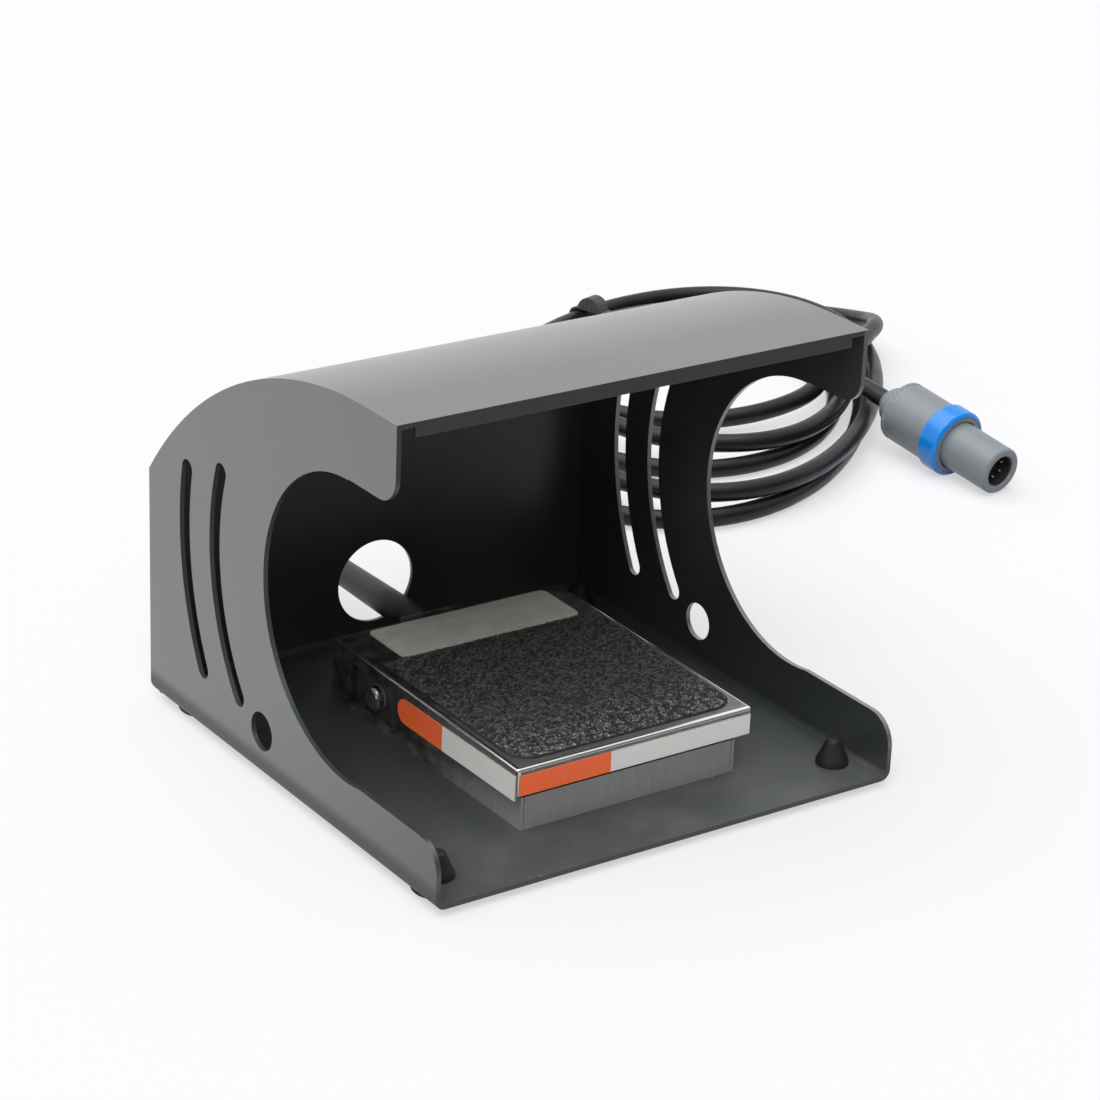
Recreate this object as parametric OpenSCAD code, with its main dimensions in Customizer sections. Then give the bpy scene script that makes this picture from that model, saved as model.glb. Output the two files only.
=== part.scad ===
// Guarded foot pedal: a sheet-steel hood over a light-duty treadle switch, with a coiled
// control cord that ends in a push-pull circular plug.
// X is the width, +Y the back where the cord leaves, +Z up, and the rubber feet stand at z = 0.

/* [Guard] */
// Outside width of the guard
guard_w = 160; // [150:1:180]
// Depth of the guard from the sill to the back wall
guard_d = 163; // [160:1:170]
// Height of the roof above the underside of the base sheet
guard_h = 133.6; // [130:0.1:140]
// Thickness of the steel sheet of the guard
guard_t = 1.5; // [1.2:0.1:2]
// Outside radius of the bend between base and side
bend_r = 3.2; // [2.5:0.1:5]
// Radius of the roof where it curves down to the back wall
roof_r = 152; // [150:1:156]
// Depth of the stiffening lip under the front edge of the roof
lip_h = 4.5; // [3:0.1:6]

/* [Side cut-outs] */
// Radius of the large round cut-out in each side
side_cut_r = 45.5; // [42:0.5:46]
// Width of the curved slots
slot_w = 6; // [5:0.1:7]
// Centre-line radius of the rear slot
slot_rear_r = 92; // [90:1:94]
// Centre-line radius of the front slot
slot_front_r = 74; // [72:1:76]
// Diameter of the round hole in each side
side_hole_d = 12; // [8:0.5:13]
// Diameter of the cable hole in the back wall
cable_hole_d = 27.5; // [22:0.5:30]

/* [Feet] */
// Diameter of a rubber foot's head
foot_d = 15; // [12:0.5:16]
// Height of a rubber foot's head below the base
foot_h = 2.5; // [2:0.1:4]

/* [Pedal] */
// Width of the treadle
treadle_w = 83; // [80:0.5:86]
// Length of the treadle
treadle_l = 100.5; // [98:0.5:104]
// Thickness of the treadle and tray sheet
pedal_t = 1; // [0.8:0.1:1.2]
// Outside width of the tray under the treadle
tray_w = 76; // [75:0.5:77]
// Outside length of the tray
tray_l = 104; // [103:0.5:106]
// Offset of the pedal from the middle of the guard
pedal_x = 2.8; // [0:0.1:4]
// Distance of the pivot behind the front edge of the treadle
pivot_back = 77.4; // [76:0.1:79]

/* [Switch] */
// Length of the snap-action switch body
switch_l = 27.8; // [27:0.1:28]
// Height of the snap-action switch body
switch_h = 15.9; // [15:0.1:16]
// Thickness of the snap-action switch body
switch_t = 10.3; // [10:0.1:10.5]

/* [Cord and plug] */
// Diameter of the cord
cord_d = 6.8; // [6.4:0.1:6.9]
// Diameter of the plug's shell
plug_d = 23; // [22:0.5:23]
// Diameter of the plug's coloured ring
plug_ring_d = 25.4; // [25:0.1:25.5]
// Diameter of the plug's nose
plug_nose_d = 18; // [17:0.5:18]
// Inside diameter of the plug's nose
plug_bore_d = 12; // [11:0.5:13]

/* [Hidden] */
$fn = 48;
eps = 0.02;

// Shift from the front bottom edge of the guard's sheet to the part's origin
sheet_y = -guard_d / 2;
sheet_z = foot_h;

// Side outline of the guard, seen along X, in the guard's own y and z
roof_flat_y = 42;
roof_front_y = 25;
roof_cz = guard_h - roof_r;
back_top_z = roof_cz + sqrt(pow(roof_r, 2) - pow(guard_d - roof_flat_y, 2));
back_a = asin((back_top_z - roof_cz) / roof_r);
back_bend_r = 4;
side_cut = [49, 64.2];
nose_r = 8;
nose_z = 110;
sill_front_r = 9;
sill_z = side_cut.y - side_cut_r + 0.8;
slot_rear_a = [-28.4, 10.8];
slot_front_a = [-36.6, 18.1];
side_hole = [95, 14.5];
cable_hole_z = 20;
foot_places = [[-70, 15], [70, 15], [-70, 148], [70, 148]];
foot_neck_d = 8;
foot_cone_d = 10;
foot_cone_h = 8;

// Pedal: heights are above the underside of the guard's base
tray_front_y = 25.6;
tray_wall_z = 12;
tray_back_z = 22.2;
treadle_front_y = 22.65;
treadle_top_z = 23;
treadle_tilt = 0.7;
treadle_back_h = 17.6;
treadle_end_h = 4;
front_skirt_h = 9;
side_skirt_grow = 0.088;
recess_y0 = 66.5;
recess_y1 = 90;
recess_in = 2;
recess_top = 4;
pivot_y = treadle_front_y + pivot_back;
pivot_z = 13.5;
pivot_d = 4;
pivot_clear = 0.05;
bush_flange_d = 8.4;
bush_flange_h = 0.5;
screw_play = 0.15;
ear_l = 16;
ear_z = 19.4;

// Cord leaves the tray on the guard's middle plane
cord_z = 15.5;
boot_start_y = 124.2;
boot_end_y = 186.5;
tray_hole_d = 9.2;

// Tray fasteners
tray_screw_places = [[-24, 40], [29.6, 40], [-24, 116], [29.6, 116]];
screw_d = 3;

// Switch: it lies across the pedal with its plunger 25 mm in front of the pivot
plunger_arm = 25;
switch_y = pivot_y - plunger_arm;
switch_z0 = guard_t + pedal_t;
switch_x0 = pedal_x - 14;
plunger_x = switch_x0 + 20.3;
plunger_top_z = switch_z0 + switch_h + 1.4;
switch_hole_x = [2.8, 25];
switch_hole_z = 2.9;
bracket_t = 1.2;
stud_d = 4;
stud_tip_d = 2;

// Return spring under the front of the treadle
spring_x = pedal_x;
spring_y = 47;
spring_d = 10;
spring_wire = 1.1;
spring_turns = 5;
spring_z0 = switch_z0 + 0.6;
spring_z1 = treadle_top_z - pedal_t + 0.1;

// Plug: the nose lies on the floor and the rear is lifted by the cord
plug_nose = [263.4, 78.7, 9.25];
plug_heading = 95.2;
plug_slope = 8.5;
plug_dir = [cos(plug_slope) * cos(plug_heading), cos(plug_slope) * sin(plug_heading),
            sin(plug_slope)];
nose_l = 22;
ring_l = 9;
shell_end = 52;
plug_end = 60;

// Coil on the floor: an egg-shaped spiral in two layers
coil_c = [210, 183.5];
coil_a = 130;
coil_a_step = 35;
coil_b = 74;
coil_b_step = 10.5;
coil_shift = [14.5, 0.5];
coil_egg = 9;
coil_turn = 44;
coil_start = -44;
coil_half = 2.7;
coil_from = 70;
coil_rings = 24;
coil_sides = 6;
coil_gap = 0.5;
tie_t = 0.5;
cord_sides = 10;

// Routes of the free cord, chosen point by point
lead_route = [[0, 105, 18], [0, 112, 18], [0, 119, 17.3], [-1, 127, 15], [-2, 135, 11.6],
              [-2, 144, 8], [0, 153, 5.2], [5, 161, 3.8], [12, 168, 3.5], [21, 173, 3.5],
              [34, 175, 3.5], [48, 175, 3.5], [63, 176, 3.6], [78, 179, 4.3],
              [92, 185, 6], [104, 193, 8.3], [115, 203, 10.3]];
tail_route = [[258, 158, 20], [262, 167, 19.6], [269, 176, 19.4], [278, 184, 19.2],
              [288, 191, 19], [298, 198, 18.8], [308, 206, 18], [315, 216, 15.4],
              [319, 228, 12], [321, 241, 8.8], [320, 254, 6.2], [316, 266, 4.8],
              [309, 276, 4.2], [300, 282, 4.1]];

// Points of an arc about c from angle a0 to a1
function arc(c, r, a0, a1, n) = [for (i = [0:n]) let (a = a0 + (a1 - a0) * i / n)
                                 [c.x + r * cos(a), c.y + r * sin(a)]];
function unit(v) = v / norm(v);
function tangents(p) = let (n = len(p)) [for (i = [0:n - 1])
                       unit(p[min(i + 1, n - 1)] - p[max(i - 1, 0)])];

// Ring of points about c, square to t
function ring_at(c, t, r, sides) = let (s = unit(cross([0, 0, 1], t)), u = cross(t, s))
    [for (k = [0:sides - 1]) let (a = 360 * (k + 0.5) / sides) c + r * (cos(a) * s + sin(a) * u)];

// Solid tube along the points of a path
module tube(path, d, sides) {
    t = tangents(path);
    n = len(path);
    points = [for (i = [0:n - 1]) each ring_at(path[i], t[i], d / 2, sides)];
    walls = [for (i = [0:n - 2], k = [0:sides - 1]) let (m = (k + 1) % sides, a = i * sides)
             each [[a + k, a + sides + k, a + m], [a + m, a + sides + k, a + sides + m]]];
    start = [for (k = [1:sides - 2]) [0, k, k + 1]];
    end = [for (k = [1:sides - 2]) [(n - 1) * sides, (n - 1) * sides + k + 1,
                                    (n - 1) * sides + k]];
    polyhedron(points, concat(walls, start, end), convexity = 10);
}

// Turns wound at coil parameter t, in degrees: they grow, and shrink again on the way out
function wound(t) = let (k = t / 360) coil_half - sqrt(pow(k - coil_half, 2) + 0.0036);
function coil_lift(t) = let (s = max(0, min(1, (t - 360 * coil_half + 90) / 180)))
                        s * s * (3 - 2 * s);
function coil_point(t) = let (k = wound(t), a = coil_start + t,
    u = (coil_a - coil_a_step * k) * cos(a) + coil_egg * sin(2 * a) + coil_shift.x * k,
    v = (coil_b - coil_b_step * k) * sin(a) - coil_egg * cos(2 * a) + coil_shift.y * k)
    [coil_c.x + u * cos(coil_turn) - v * sin(coil_turn),
     coil_c.y + u * sin(coil_turn) + v * cos(coil_turn),
     cord_d / 2 + tie_t + 0.1 + coil_lift(t) * (cord_d + coil_gap)];

coil_to = 720 * coil_half;
coil_steps = ceil((coil_to - coil_from) / 360 * coil_rings);
coil_path = [for (i = [0:coil_steps]) coil_point(coil_from + (coil_to - coil_from) * i / coil_steps)];
coil_in_dir = unit(coil_path[0] - coil_path[1]);
coil_out_dir = unit(coil_path[coil_steps] - coil_path[coil_steps - 1]);
coil_in_end = coil_path[0] + coil_in_dir * cord_d;
coil_out_end = coil_path[coil_steps] + coil_out_dir * cord_d;
coil_tube = concat([coil_in_end], coil_path, [coil_out_end]);
lead_path = concat(lead_route, [coil_out_end + coil_out_dir * cord_d, coil_out_end]);
plug_rear = plug_nose + plug_dir * plug_end;
tail_path = concat([plug_rear, plug_rear + plug_dir * cord_d], tail_route,
                   [coil_in_end + coil_in_dir * cord_d, coil_in_end]);

function path_length(p) = sum([for (i = [1:len(p) - 1]) norm(p[i] - p[i - 1])]);
function sum(v, i = 0) = i < len(v) ? v[i] + sum(v, i + 1) : 0;
coil_least = min([for (i = [0:coil_steps - 14], j = [i + 13:coil_steps])
                  norm(coil_path[i] - coil_path[j])]) - cord_d;
echo(coil_least_gap = coil_least, coil_length = path_length(coil_tube),
     lead_length = path_length(lead_path), tail_length = path_length(tail_path));

// Places children given in the guard's own y and z
module in_guard() {
    translate([0, sheet_y, sheet_z]) children();
}

// Extrudes a side outline (y, z) across the width from x0 to x1
module across(x0, x1) {
    translate([x0, 0, 0]) rotate([90, 0, 90]) linear_extrude(x1 - x0) children();
}

// Extrudes a front outline (x, z) along the depth from y0 to y1
module along(y0, y1) {
    translate([0, y1, 0]) rotate([90, 0, 0]) linear_extrude(y1 - y0) children();
}

module rod_x(x0, x1, d) {
    translate([x0, 0, 0]) rotate([0, 90, 0]) cylinder(h = x1 - x0, d = d);
}

module rod_y(y0, y1, d) {
    translate([0, y1, 0]) rotate([90, 0, 0]) cylinder(h = y1 - y0, d = d);
}

// Outline of a side plate without its round openings
module side_outline() {
    nose_c = [roof_front_y + nose_r, nose_z + nose_r];
    polygon(concat(
        [[0, 0], [guard_d - back_bend_r, 0]],
        arc([guard_d - back_bend_r, back_bend_r], back_bend_r, -90, 0, 6),
        arc([roof_flat_y, roof_cz], roof_r, back_a, 90, 26),
        [[roof_front_y, guard_h]],
        arc(nose_c, nose_r, 180, 270, 8),
        [[side_cut.x, nose_z], [side_cut.x, sill_z], [sill_front_r, sill_z]],
        arc([sill_front_r, sill_z - sill_front_r], sill_front_r, 90, 180, 8)));
}

// Curved slot about the centre of the side cut-out, cut through both sides
module side_slot(r, angles) {
    translate([-guard_w, side_cut.x, side_cut.y]) rotate([90, 0, 90]) {
        rotate([0, 0, angles[0]]) rotate_extrude(angle = angles[1] - angles[0], $fn = 96)
            translate([r - slot_w / 2, 0]) square([slot_w, 2 * guard_w]);
        for (a = angles) rotate([0, 0, a]) translate([r, 0, 0])
            cylinder(h = 2 * guard_w, d = slot_w);
    }
}

module side_openings() {
    translate([-guard_w, side_cut.x, side_cut.y]) rotate([0, 90, 0])
        cylinder(h = 2 * guard_w, r = side_cut_r, $fn = 96);
    side_slot(slot_rear_r, slot_rear_a);
    side_slot(slot_front_r, slot_front_a);
    translate([-guard_w, side_hole.x, side_hole.y]) rotate([0, 90, 0])
        cylinder(h = 2 * guard_w, d = side_hole_d);
}

// Section of the folded base and sides
module channel_section() {
    difference() {
        union() {
            translate([-guard_w / 2, bend_r]) square([guard_w, guard_h]);
            translate([-guard_w / 2 + bend_r, 0]) square([guard_w - 2 * bend_r, bend_r + 1]);
            for (s = [-1, 1]) translate([s * (guard_w / 2 - bend_r), bend_r]) circle(r = bend_r);
        }
        inner_r = bend_r - guard_t;
        inner_w = guard_w - 2 * guard_t;
        translate([-inner_w / 2, bend_r]) square([inner_w, guard_h + 1]);
        translate([-inner_w / 2 + inner_r, guard_t]) square([inner_w - 2 * inner_r, bend_r]);
        for (s = [-1, 1]) translate([s * (guard_w / 2 - bend_r), bend_r]) circle(r = inner_r);
    }
}

module guard_base() {
    color("dimgray") in_guard() difference() {
        intersection() {
            along(0, guard_d) channel_section();
            across(-guard_w / 2, guard_w / 2) side_outline();
        }
        side_openings();
        hood_bed = guard_d - back_bend_r;
        translate([-guard_w / 2 + guard_t, hood_bed, -1])
            cube([guard_w - 2 * guard_t, back_bend_r + 1, guard_t + 1]);
        for (p = foot_places) translate([p.x, p.y, -1])
            cylinder(h = guard_t + 2, d = foot_neck_d);
        for (p = tray_screw_places) translate([p.x, p.y, -1])
            cylinder(h = guard_t + 2, d = screw_d);
    }
}

// Band of sheet that follows the roof, the back wall and the bend at its foot
module hood_outline() {
    inner_r = roof_r - guard_t;
    inner_a = acos((guard_d - guard_t - roof_flat_y) / inner_r);
    polygon(concat(
        [[roof_front_y, guard_h]],
        arc([roof_flat_y, roof_cz], roof_r, 90, back_a, 26),
        arc([guard_d - back_bend_r, back_bend_r], back_bend_r, 0, -90, 6),
        arc([guard_d - back_bend_r, back_bend_r], back_bend_r - guard_t, -90, 0, 6),
        arc([roof_flat_y, roof_cz], inner_r, inner_a, 90, 26),
        [[roof_front_y, guard_h - guard_t]]));
}

module guard_hood() {
    inner_w = guard_w - 2 * guard_t;
    lip_w = guard_w - 12;
    color("gray") in_guard() difference() {
        union() {
            across(-inner_w / 2, inner_w / 2) hood_outline();
            along(roof_front_y, roof_front_y + guard_t) translate([-lip_w / 2, guard_h - lip_h])
                square([lip_w, lip_h - guard_t + eps]);
        }
        translate([0, 0, cable_hole_z]) rod_y(guard_d - 10, guard_d + 10, cable_hole_d);
    }
}

// Push-in foot: head below the sheet, neck in the hole and a blunt cone above
module rubber_foot() {
    tip_r = 1.6;
    rotate_extrude() polygon(concat(
        [[0, -foot_h], [foot_d / 2 - 0.8, -foot_h], [foot_d / 2, -foot_h + 0.8],
         [foot_d / 2 - 0.5, 0], [foot_neck_d / 2, 0], [foot_neck_d / 2, guard_t],
         [foot_cone_d / 2, guard_t], [foot_cone_d / 2, guard_t + 1.2]],
        arc([0.9, guard_t + foot_cone_h - tip_r], tip_r, 20, 90, 4),
        [[0, guard_t + foot_cone_h]]));
}

module rubber_feet() {
    color("black") in_guard() for (p = foot_places) translate([p.x, p.y, 0]) rubber_foot();
}

// Low pan-head screw with its shank up
module pan_screw(d, head_d, head_h, l) {
    rotate_extrude() polygon([[0, -head_h], [head_d / 2 - 0.6, -head_h], [head_d / 2, -head_h + 0.7],
                              [head_d / 2, 0], [d / 2, 0], [d / 2, l], [0, l]]);
}

module hex_nut(d, flats, h) {
    difference() {
        cylinder(h = h, d = flats / cos(30), $fn = 6);
        translate([0, 0, -1]) cylinder(h = h + 2, d = d);
    }
}

module tray_screws() {
    color("silver") in_guard() for (p = tray_screw_places) translate([p.x, p.y, 0])
        pan_screw(screw_d, 6, 1.9, 5.4);
}

module tray_nuts() {
    color("silver") in_guard() for (p = tray_screw_places)
        translate([p.x, p.y, guard_t + pedal_t]) hex_nut(screw_d, 5.5, 2.4);
}

// Tray of folded stainless sheet with open corner seams and two pivot ears
module switch_tray() {
    x0 = pedal_x - tray_w / 2;
    x1 = pedal_x + tray_w / 2;
    y1 = tray_front_y + tray_l;
    z0 = guard_t;
    seam = 0.25;
    color("lightgray") in_guard() difference() {
        union() {
            translate([x0, tray_front_y, z0]) cube([tray_w, tray_l, pedal_t]);
            for (x = [x0, x1 - pedal_t]) {
                translate([x, tray_front_y, z0]) cube([pedal_t, tray_l, tray_wall_z - z0]);
                translate([x, pivot_y - ear_l / 2, z0]) cube([pedal_t, ear_l, pivot_z - z0]);
                translate([x, pivot_y, pivot_z]) rod_x(0, pedal_t, 2 * (ear_z - pivot_z));
            }
            translate([x0 + pedal_t + seam, tray_front_y, z0])
                cube([tray_w - 2 * (pedal_t + seam), pedal_t, tray_wall_z - z0]);
            translate([x0 + pedal_t + seam, y1 - pedal_t, z0])
                cube([tray_w - 2 * (pedal_t + seam), pedal_t, tray_wall_z - z0]);
            translate([-11, y1 - pedal_t, z0]) cube([22, pedal_t, tray_back_z - z0]);
        }
        translate([x0 - 1, pivot_y, pivot_z]) rod_x(0, tray_w + 2, pivot_d);
        translate([0, 0, cord_z]) rod_y(y1 - 5, y1 + 5, tray_hole_d);
        for (p = tray_screw_places) translate([p.x, p.y, 0]) cylinder(h = 5, d = screw_d);
        for (x = [switch_x0 + switch_hole_x[0], switch_x0 + switch_hole_x[1]])
            translate([x, switch_y + 12, 0]) cylinder(h = 5, d = screw_d);
        translate([-13, boot_start_y - 14, 0]) cylinder(h = 5, d = screw_d);
    }
}

// Turns children by the treadle's slight slope about the pivot line
module on_treadle() {
    translate([0, treadle_front_y, treadle_top_z]) rotate([treadle_tilt, 0, 0])
        translate([pedal_x, 0, 0]) children();
}

function skirt_depth(y) = 9.2 + side_skirt_grow * y;

// Side skirt outline, measured back from the front edge and down from the top
module skirt_outline() {
    front_r = 3;
    polygon(concat(
        [[0, 0], [0, -front_skirt_h + front_r]],
        arc([front_r, -skirt_depth(0) + front_r], front_r, 180, 270, 4),
        [[recess_y0, -skirt_depth(recess_y0)], [recess_y0, -recess_top - 2.5]],
        arc([recess_y0 + 2.5, -recess_top - 2.5], 2.5, 180, 90, 4),
        arc([recess_y1 - 2.5, -recess_top - 2.5], 2.5, 90, 0, 4),
        [[recess_y1, -treadle_back_h], [treadle_l, -treadle_back_h], [treadle_l, 0]]));
}

// Inner wall of the joggled recess that carries the pivot screw
module recess_outline() {
    y0 = recess_y0 - 1;
    y1 = recess_y1 + 1;
    polygon([[y0, -pedal_t], [y0, -treadle_back_h + 1.6], [y0 + 1.6, -treadle_back_h],
             [y1, -treadle_back_h], [y1, -pedal_t]]);
}

module treadle() {
    half = treadle_w / 2;
    color("silver") in_guard() difference() {
        on_treadle() {
            translate([-half, 0, -pedal_t]) cube([treadle_w, treadle_l, pedal_t]);
            translate([-half, 0, -front_skirt_h]) cube([treadle_w, pedal_t, front_skirt_h]);
            translate([-half, treadle_l - pedal_t, -treadle_end_h])
                cube([treadle_w, pedal_t, treadle_end_h]);
            for (s = [-1, 1]) {
                x_skirt = s > 0 ? half - pedal_t : -half;
                across(x_skirt, x_skirt + pedal_t) skirt_outline();
                x_wall = s > 0 ? half - pedal_t - recess_in : -half + recess_in;
                across(x_wall, x_wall + pedal_t) recess_outline();
                for (y = [recess_y0 - 1, recess_y1])
                    translate([min(s * half, s * (half - recess_in - pedal_t)), y,
                               -skirt_depth(recess_y0)])
                        cube([recess_in + pedal_t, 1, skirt_depth(recess_y0) - pedal_t]);
            }
        }
        translate([pedal_x - treadle_w, pivot_y, pivot_z])
            rod_x(0, 2 * treadle_w, pivot_d + 2 * 0.8);
        translate([plunger_x, switch_y, treadle_top_z - 5]) cylinder(h = 10, d = stud_d);
    }
}

// Grit pad with round front corners
module tread_pad() {
    pad_w = 78;
    pad_y0 = 3.4;
    pad_y1 = 77.2;
    r = 8;
    color("#1d1d1f") in_guard() on_treadle() translate([0, 0, 0]) linear_extrude(0.9)
        polygon(concat(arc([pad_w / 2 - r, pad_y0 + r], r, -90, 0, 6),
                       [[pad_w / 2, pad_y1], [-pad_w / 2, pad_y1]],
                       arc([-pad_w / 2 + r, pad_y0 + r], r, 180, 270, 6)));
}

module rounded_plate(w, l, r, h) {
    linear_extrude(h) polygon(concat(
        arc([w - r, r], r, -90, 0, 4), arc([w - r, l - r], r, 0, 90, 4),
        arc([r, l - r], r, 90, 180, 4), arc([r, r], r, 180, 270, 4)));
}

// Bare plate behind the grit pad
module name_plate() {
    color("whitesmoke") in_guard() on_treadle() translate([-31, 77.5, 0])
        rounded_plate(65, 21, 2.5, 0.4);
}

// Two-colour strip on the left skirt
module side_strip() {
    strip_l = 62.5;
    strip_h = 8;
    color("white") in_guard() on_treadle() translate([-treadle_w / 2, 0.8, -2.4])
        rotate([90, 0, -90]) mirror([1, 0, 0]) rotate([0, 0, -1]) translate([0, -strip_h, 0])
        linear_extrude(0.3) polygon(concat(
            [[0, 0]], arc([strip_l - strip_h / 2, strip_h / 2], strip_h / 2, -90, 90, 8),
            [[0, strip_h]]));
}

// Two-colour strip on the front skirt
module front_strip() {
    color("white") in_guard() on_treadle() translate([-treadle_w / 2 + 0.6, 0, -8.6])
        rotate([90, 0, 0]) linear_extrude(0.3) square([treadle_w - 1.2, 6.6]);
}

// Children placed at each pivot, with +X pointing out of the pedal
module at_pivots() {
    in_guard() translate([pedal_x, pivot_y, pivot_z]) for (s = [0, 180]) rotate([0, 0, s])
        children();
}

recess_face = treadle_w / 2 - recess_in;

module pivot_screws() {
    head_x = recess_face + bush_flange_h + screw_play;
    shank_x = 33.5;
    color("silver") at_pivots() difference() {
        rotate([0, 90, 0]) rotate_extrude() polygon(concat(
            [[0, shank_x], [pivot_d / 2, shank_x], [pivot_d / 2, head_x], [3.9, head_x]],
            arc([2.5, head_x + 0.9], 1.4, 0, 90, 4),
            [[0, head_x + 2.4]]));
        translate([head_x + 1.4, 0, 0]) for (a = [0, 90])
            rotate([a, 0, 0]) translate([0, -0.45, -2]) cube([3, 0.9, 4]);
    }
}

// Flanged bush pressed into the treadle, running on the screw's shank
module pivot_bushes() {
    color("ivory") at_pivots() rotate([0, 90, 0]) difference() {
        union() {
            translate([0, 0, recess_face]) cylinder(h = bush_flange_h, d = bush_flange_d);
            translate([0, 0, recess_face - pedal_t]) cylinder(h = pedal_t, d = pivot_d + 1.6);
        }
        translate([0, 0, recess_face - 5]) cylinder(h = 10, d = pivot_d + 2 * pivot_clear);
    }
}

module pivot_nuts() {
    color("silver") at_pivots() rotate([0, 90, 0])
        translate([0, 0, tray_w / 2 - pedal_t - 2.6]) hex_nut(pivot_d, 7, 2.6);
}

// Open compression spring between tray and treadle
module return_spring() {
    rings = 10;
    r = spring_d / 2;
    rise = spring_z1 - spring_z0 - spring_wire;
    n = spring_turns * rings;
    path = [for (i = [0:n]) [r * cos(360 * i / rings), r * sin(360 * i / rings),
                             spring_wire / 2 + rise * i / n]];
    color("silver") in_guard() translate([spring_x, spring_y, spring_z0])
        tube(path, spring_wire, 6);
}

module spring_seat() {
    color("ivory") in_guard() translate([spring_x, spring_y, switch_z0]) rotate_extrude()
        polygon([[0, 0], [7, 0], [7, 0.6], [spring_d / 2 - 1, 0.6], [3.4, 4], [0, 4]]);
}

module switch_body() {
    color("#202124") in_guard() translate([switch_x0, switch_y - switch_t / 2, switch_z0])
        difference() {
            union() {
                cube([switch_l, switch_t, switch_h]);
                translate([17.3, 2.4, switch_h]) cube([6, switch_t - 4.8, 0.6]);
            }
            for (x = switch_hole_x) translate([x, -1, switch_hole_z]) rotate([-90, 0, 0])
                cylinder(h = switch_t + 2, d = screw_d);
            translate([20.3, switch_t / 2, switch_h - 3]) cylinder(h = 5, d = 3.1);
        }
}

module switch_plunger() {
    color("firebrick") in_guard() translate([plunger_x, switch_y, 0]) {
        translate([0, 0, switch_z0 + switch_h - 1.5]) cylinder(h = 2.5, d = 3);
        translate([0, 0, switch_z0 + switch_h + 1]) intersection() {
            cylinder(h = 0.4, d = 3);
            translate([0, 0, -2.6]) sphere(r = 3);
        }
    }
}

module switch_terminals() {
    color("goldenrod") in_guard() for (z = [3.2, 8, 12.8])
        translate([switch_x0 - 6, switch_y - 0.4, switch_z0 + z - 1.6]) difference() {
            cube([6, 0.8, 3.2]);
            translate([1.9, -1, 1.6]) rotate([-90, 0, 0]) cylinder(h = 3, d = 1.6);
        }
}

// Angle bracket behind the switch, with a relief in its foot under each nut
module switch_bracket() {
    y0 = switch_y + switch_t / 2;
    nut_room = 6;
    color("silver") in_guard() difference() {
        union() {
            translate([switch_x0, y0, switch_z0]) cube([switch_l, bracket_t, 13]);
            translate([switch_x0, y0, switch_z0]) cube([switch_l, 11, bracket_t]);
        }
        for (x = switch_hole_x) {
            translate([switch_x0 + x, 0, switch_z0 + switch_hole_z])
                rod_y(y0 - 5, y0 + 5, screw_d);
            translate([switch_x0 + x, switch_y + 12, 0]) cylinder(h = 8, d = screw_d);
            translate([switch_x0 + x - nut_room / 2, y0 + bracket_t, switch_z0 - 1])
                cube([nut_room, 2.6, bracket_t + 2]);
        }
    }
}

// Two long screws through the switch and two short ones through bracket, tray and base
module switch_screws() {
    color("silver") in_guard() for (x = switch_hole_x) {
        translate([switch_x0 + x, switch_y - switch_t / 2, switch_z0 + switch_hole_z])
            rotate([-90, 0, 0]) pan_screw(screw_d, 5.2, 1.8, switch_t + bracket_t + 3);
        translate([switch_x0 + x, switch_y + 12, switch_z0 + bracket_t]) rotate([180, 0, 0])
            pan_screw(screw_d, 5.2, 1.8, bracket_t + pedal_t);
    }
}

module switch_nuts() {
    color("silver") in_guard() for (x = switch_hole_x)
        translate([switch_x0 + x, switch_y + switch_t / 2 + bracket_t,
                   switch_z0 + switch_hole_z]) rotate([-90, 0, 0]) hex_nut(screw_d, 4.6, 2.2);
}

// Adjustable stud in the treadle, over the switch's plunger
module push_stud() {
    z0 = plunger_top_z + 0.1;
    color("silver") in_guard() translate([plunger_x, switch_y, 0]) rotate_extrude()
        polygon([[0, z0], [stud_tip_d / 2, z0], [stud_tip_d / 2, z0 + 0.8],
                 [stud_d / 2, z0 + 1.6], [stud_d / 2, treadle_top_z + 0.4],
                 [0, treadle_top_z + 0.4]]);
}

module stud_nut() {
    nut_h = 1.9;
    color("silver") in_guard() on_treadle()
        translate([plunger_x - pedal_x, switch_y - treadle_front_y, -pedal_t - nut_h])
            hex_nut(stud_d + 0.1, 7, nut_h);
}

// Stripped end of the cord inside the tray
module inner_cord() {
    color("#202022") in_guard() translate([0, 0, cord_z])
        rod_y(boot_start_y - 20, boot_start_y, cord_d);
}

// Three wires from the cord's end to the switch terminals
module switch_wires() {
    start = boot_start_y - 20;
    for (i = [0:2]) {
        z_end = switch_z0 + [3.2, 8, 12.8][i];
        x0 = [-1.6, 1.6, 0][i];
        z0 = cord_z + [-1, -1, 1.7][i];
        path = [[x0, start, z0], [x0, start - 3, z0], [x0 - 6, start - 8, z0],
                [x0 - 13, start - 13, (z0 + z_end) / 2],
                [-19 - 2 * i, switch_y + 12, z_end], [-20 - 2 * i, switch_y + 6, z_end],
                [-19 - i, switch_y + 1, z_end], [-17.4, switch_y - 1.4, z_end],
                [switch_x0 - 5, switch_y - 1.4, z_end]];
        color(["firebrick", "royalblue", "black"][i]) in_guard() tube(path, 1.7, 8);
    }
}

// Clip that holds the cord's end down to the tray
module cable_clip() {
    y0 = boot_start_y - 18;
    w = 8;
    top = cord_z + cord_d / 2;
    color("#2a2a2c") in_guard() difference() {
        union() {
            translate([-7, y0, switch_z0]) cube([14, w, top - switch_z0 + 1.4]);
            translate([-18, y0, switch_z0]) cube([12, w, 2]);
        }
        translate([0, 0, cord_z]) rod_y(y0 - 1, y0 + w + 1, cord_d);
        translate([-13, y0 + 4, 0]) cylinder(h = 8, d = screw_d);
    }
}

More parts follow.
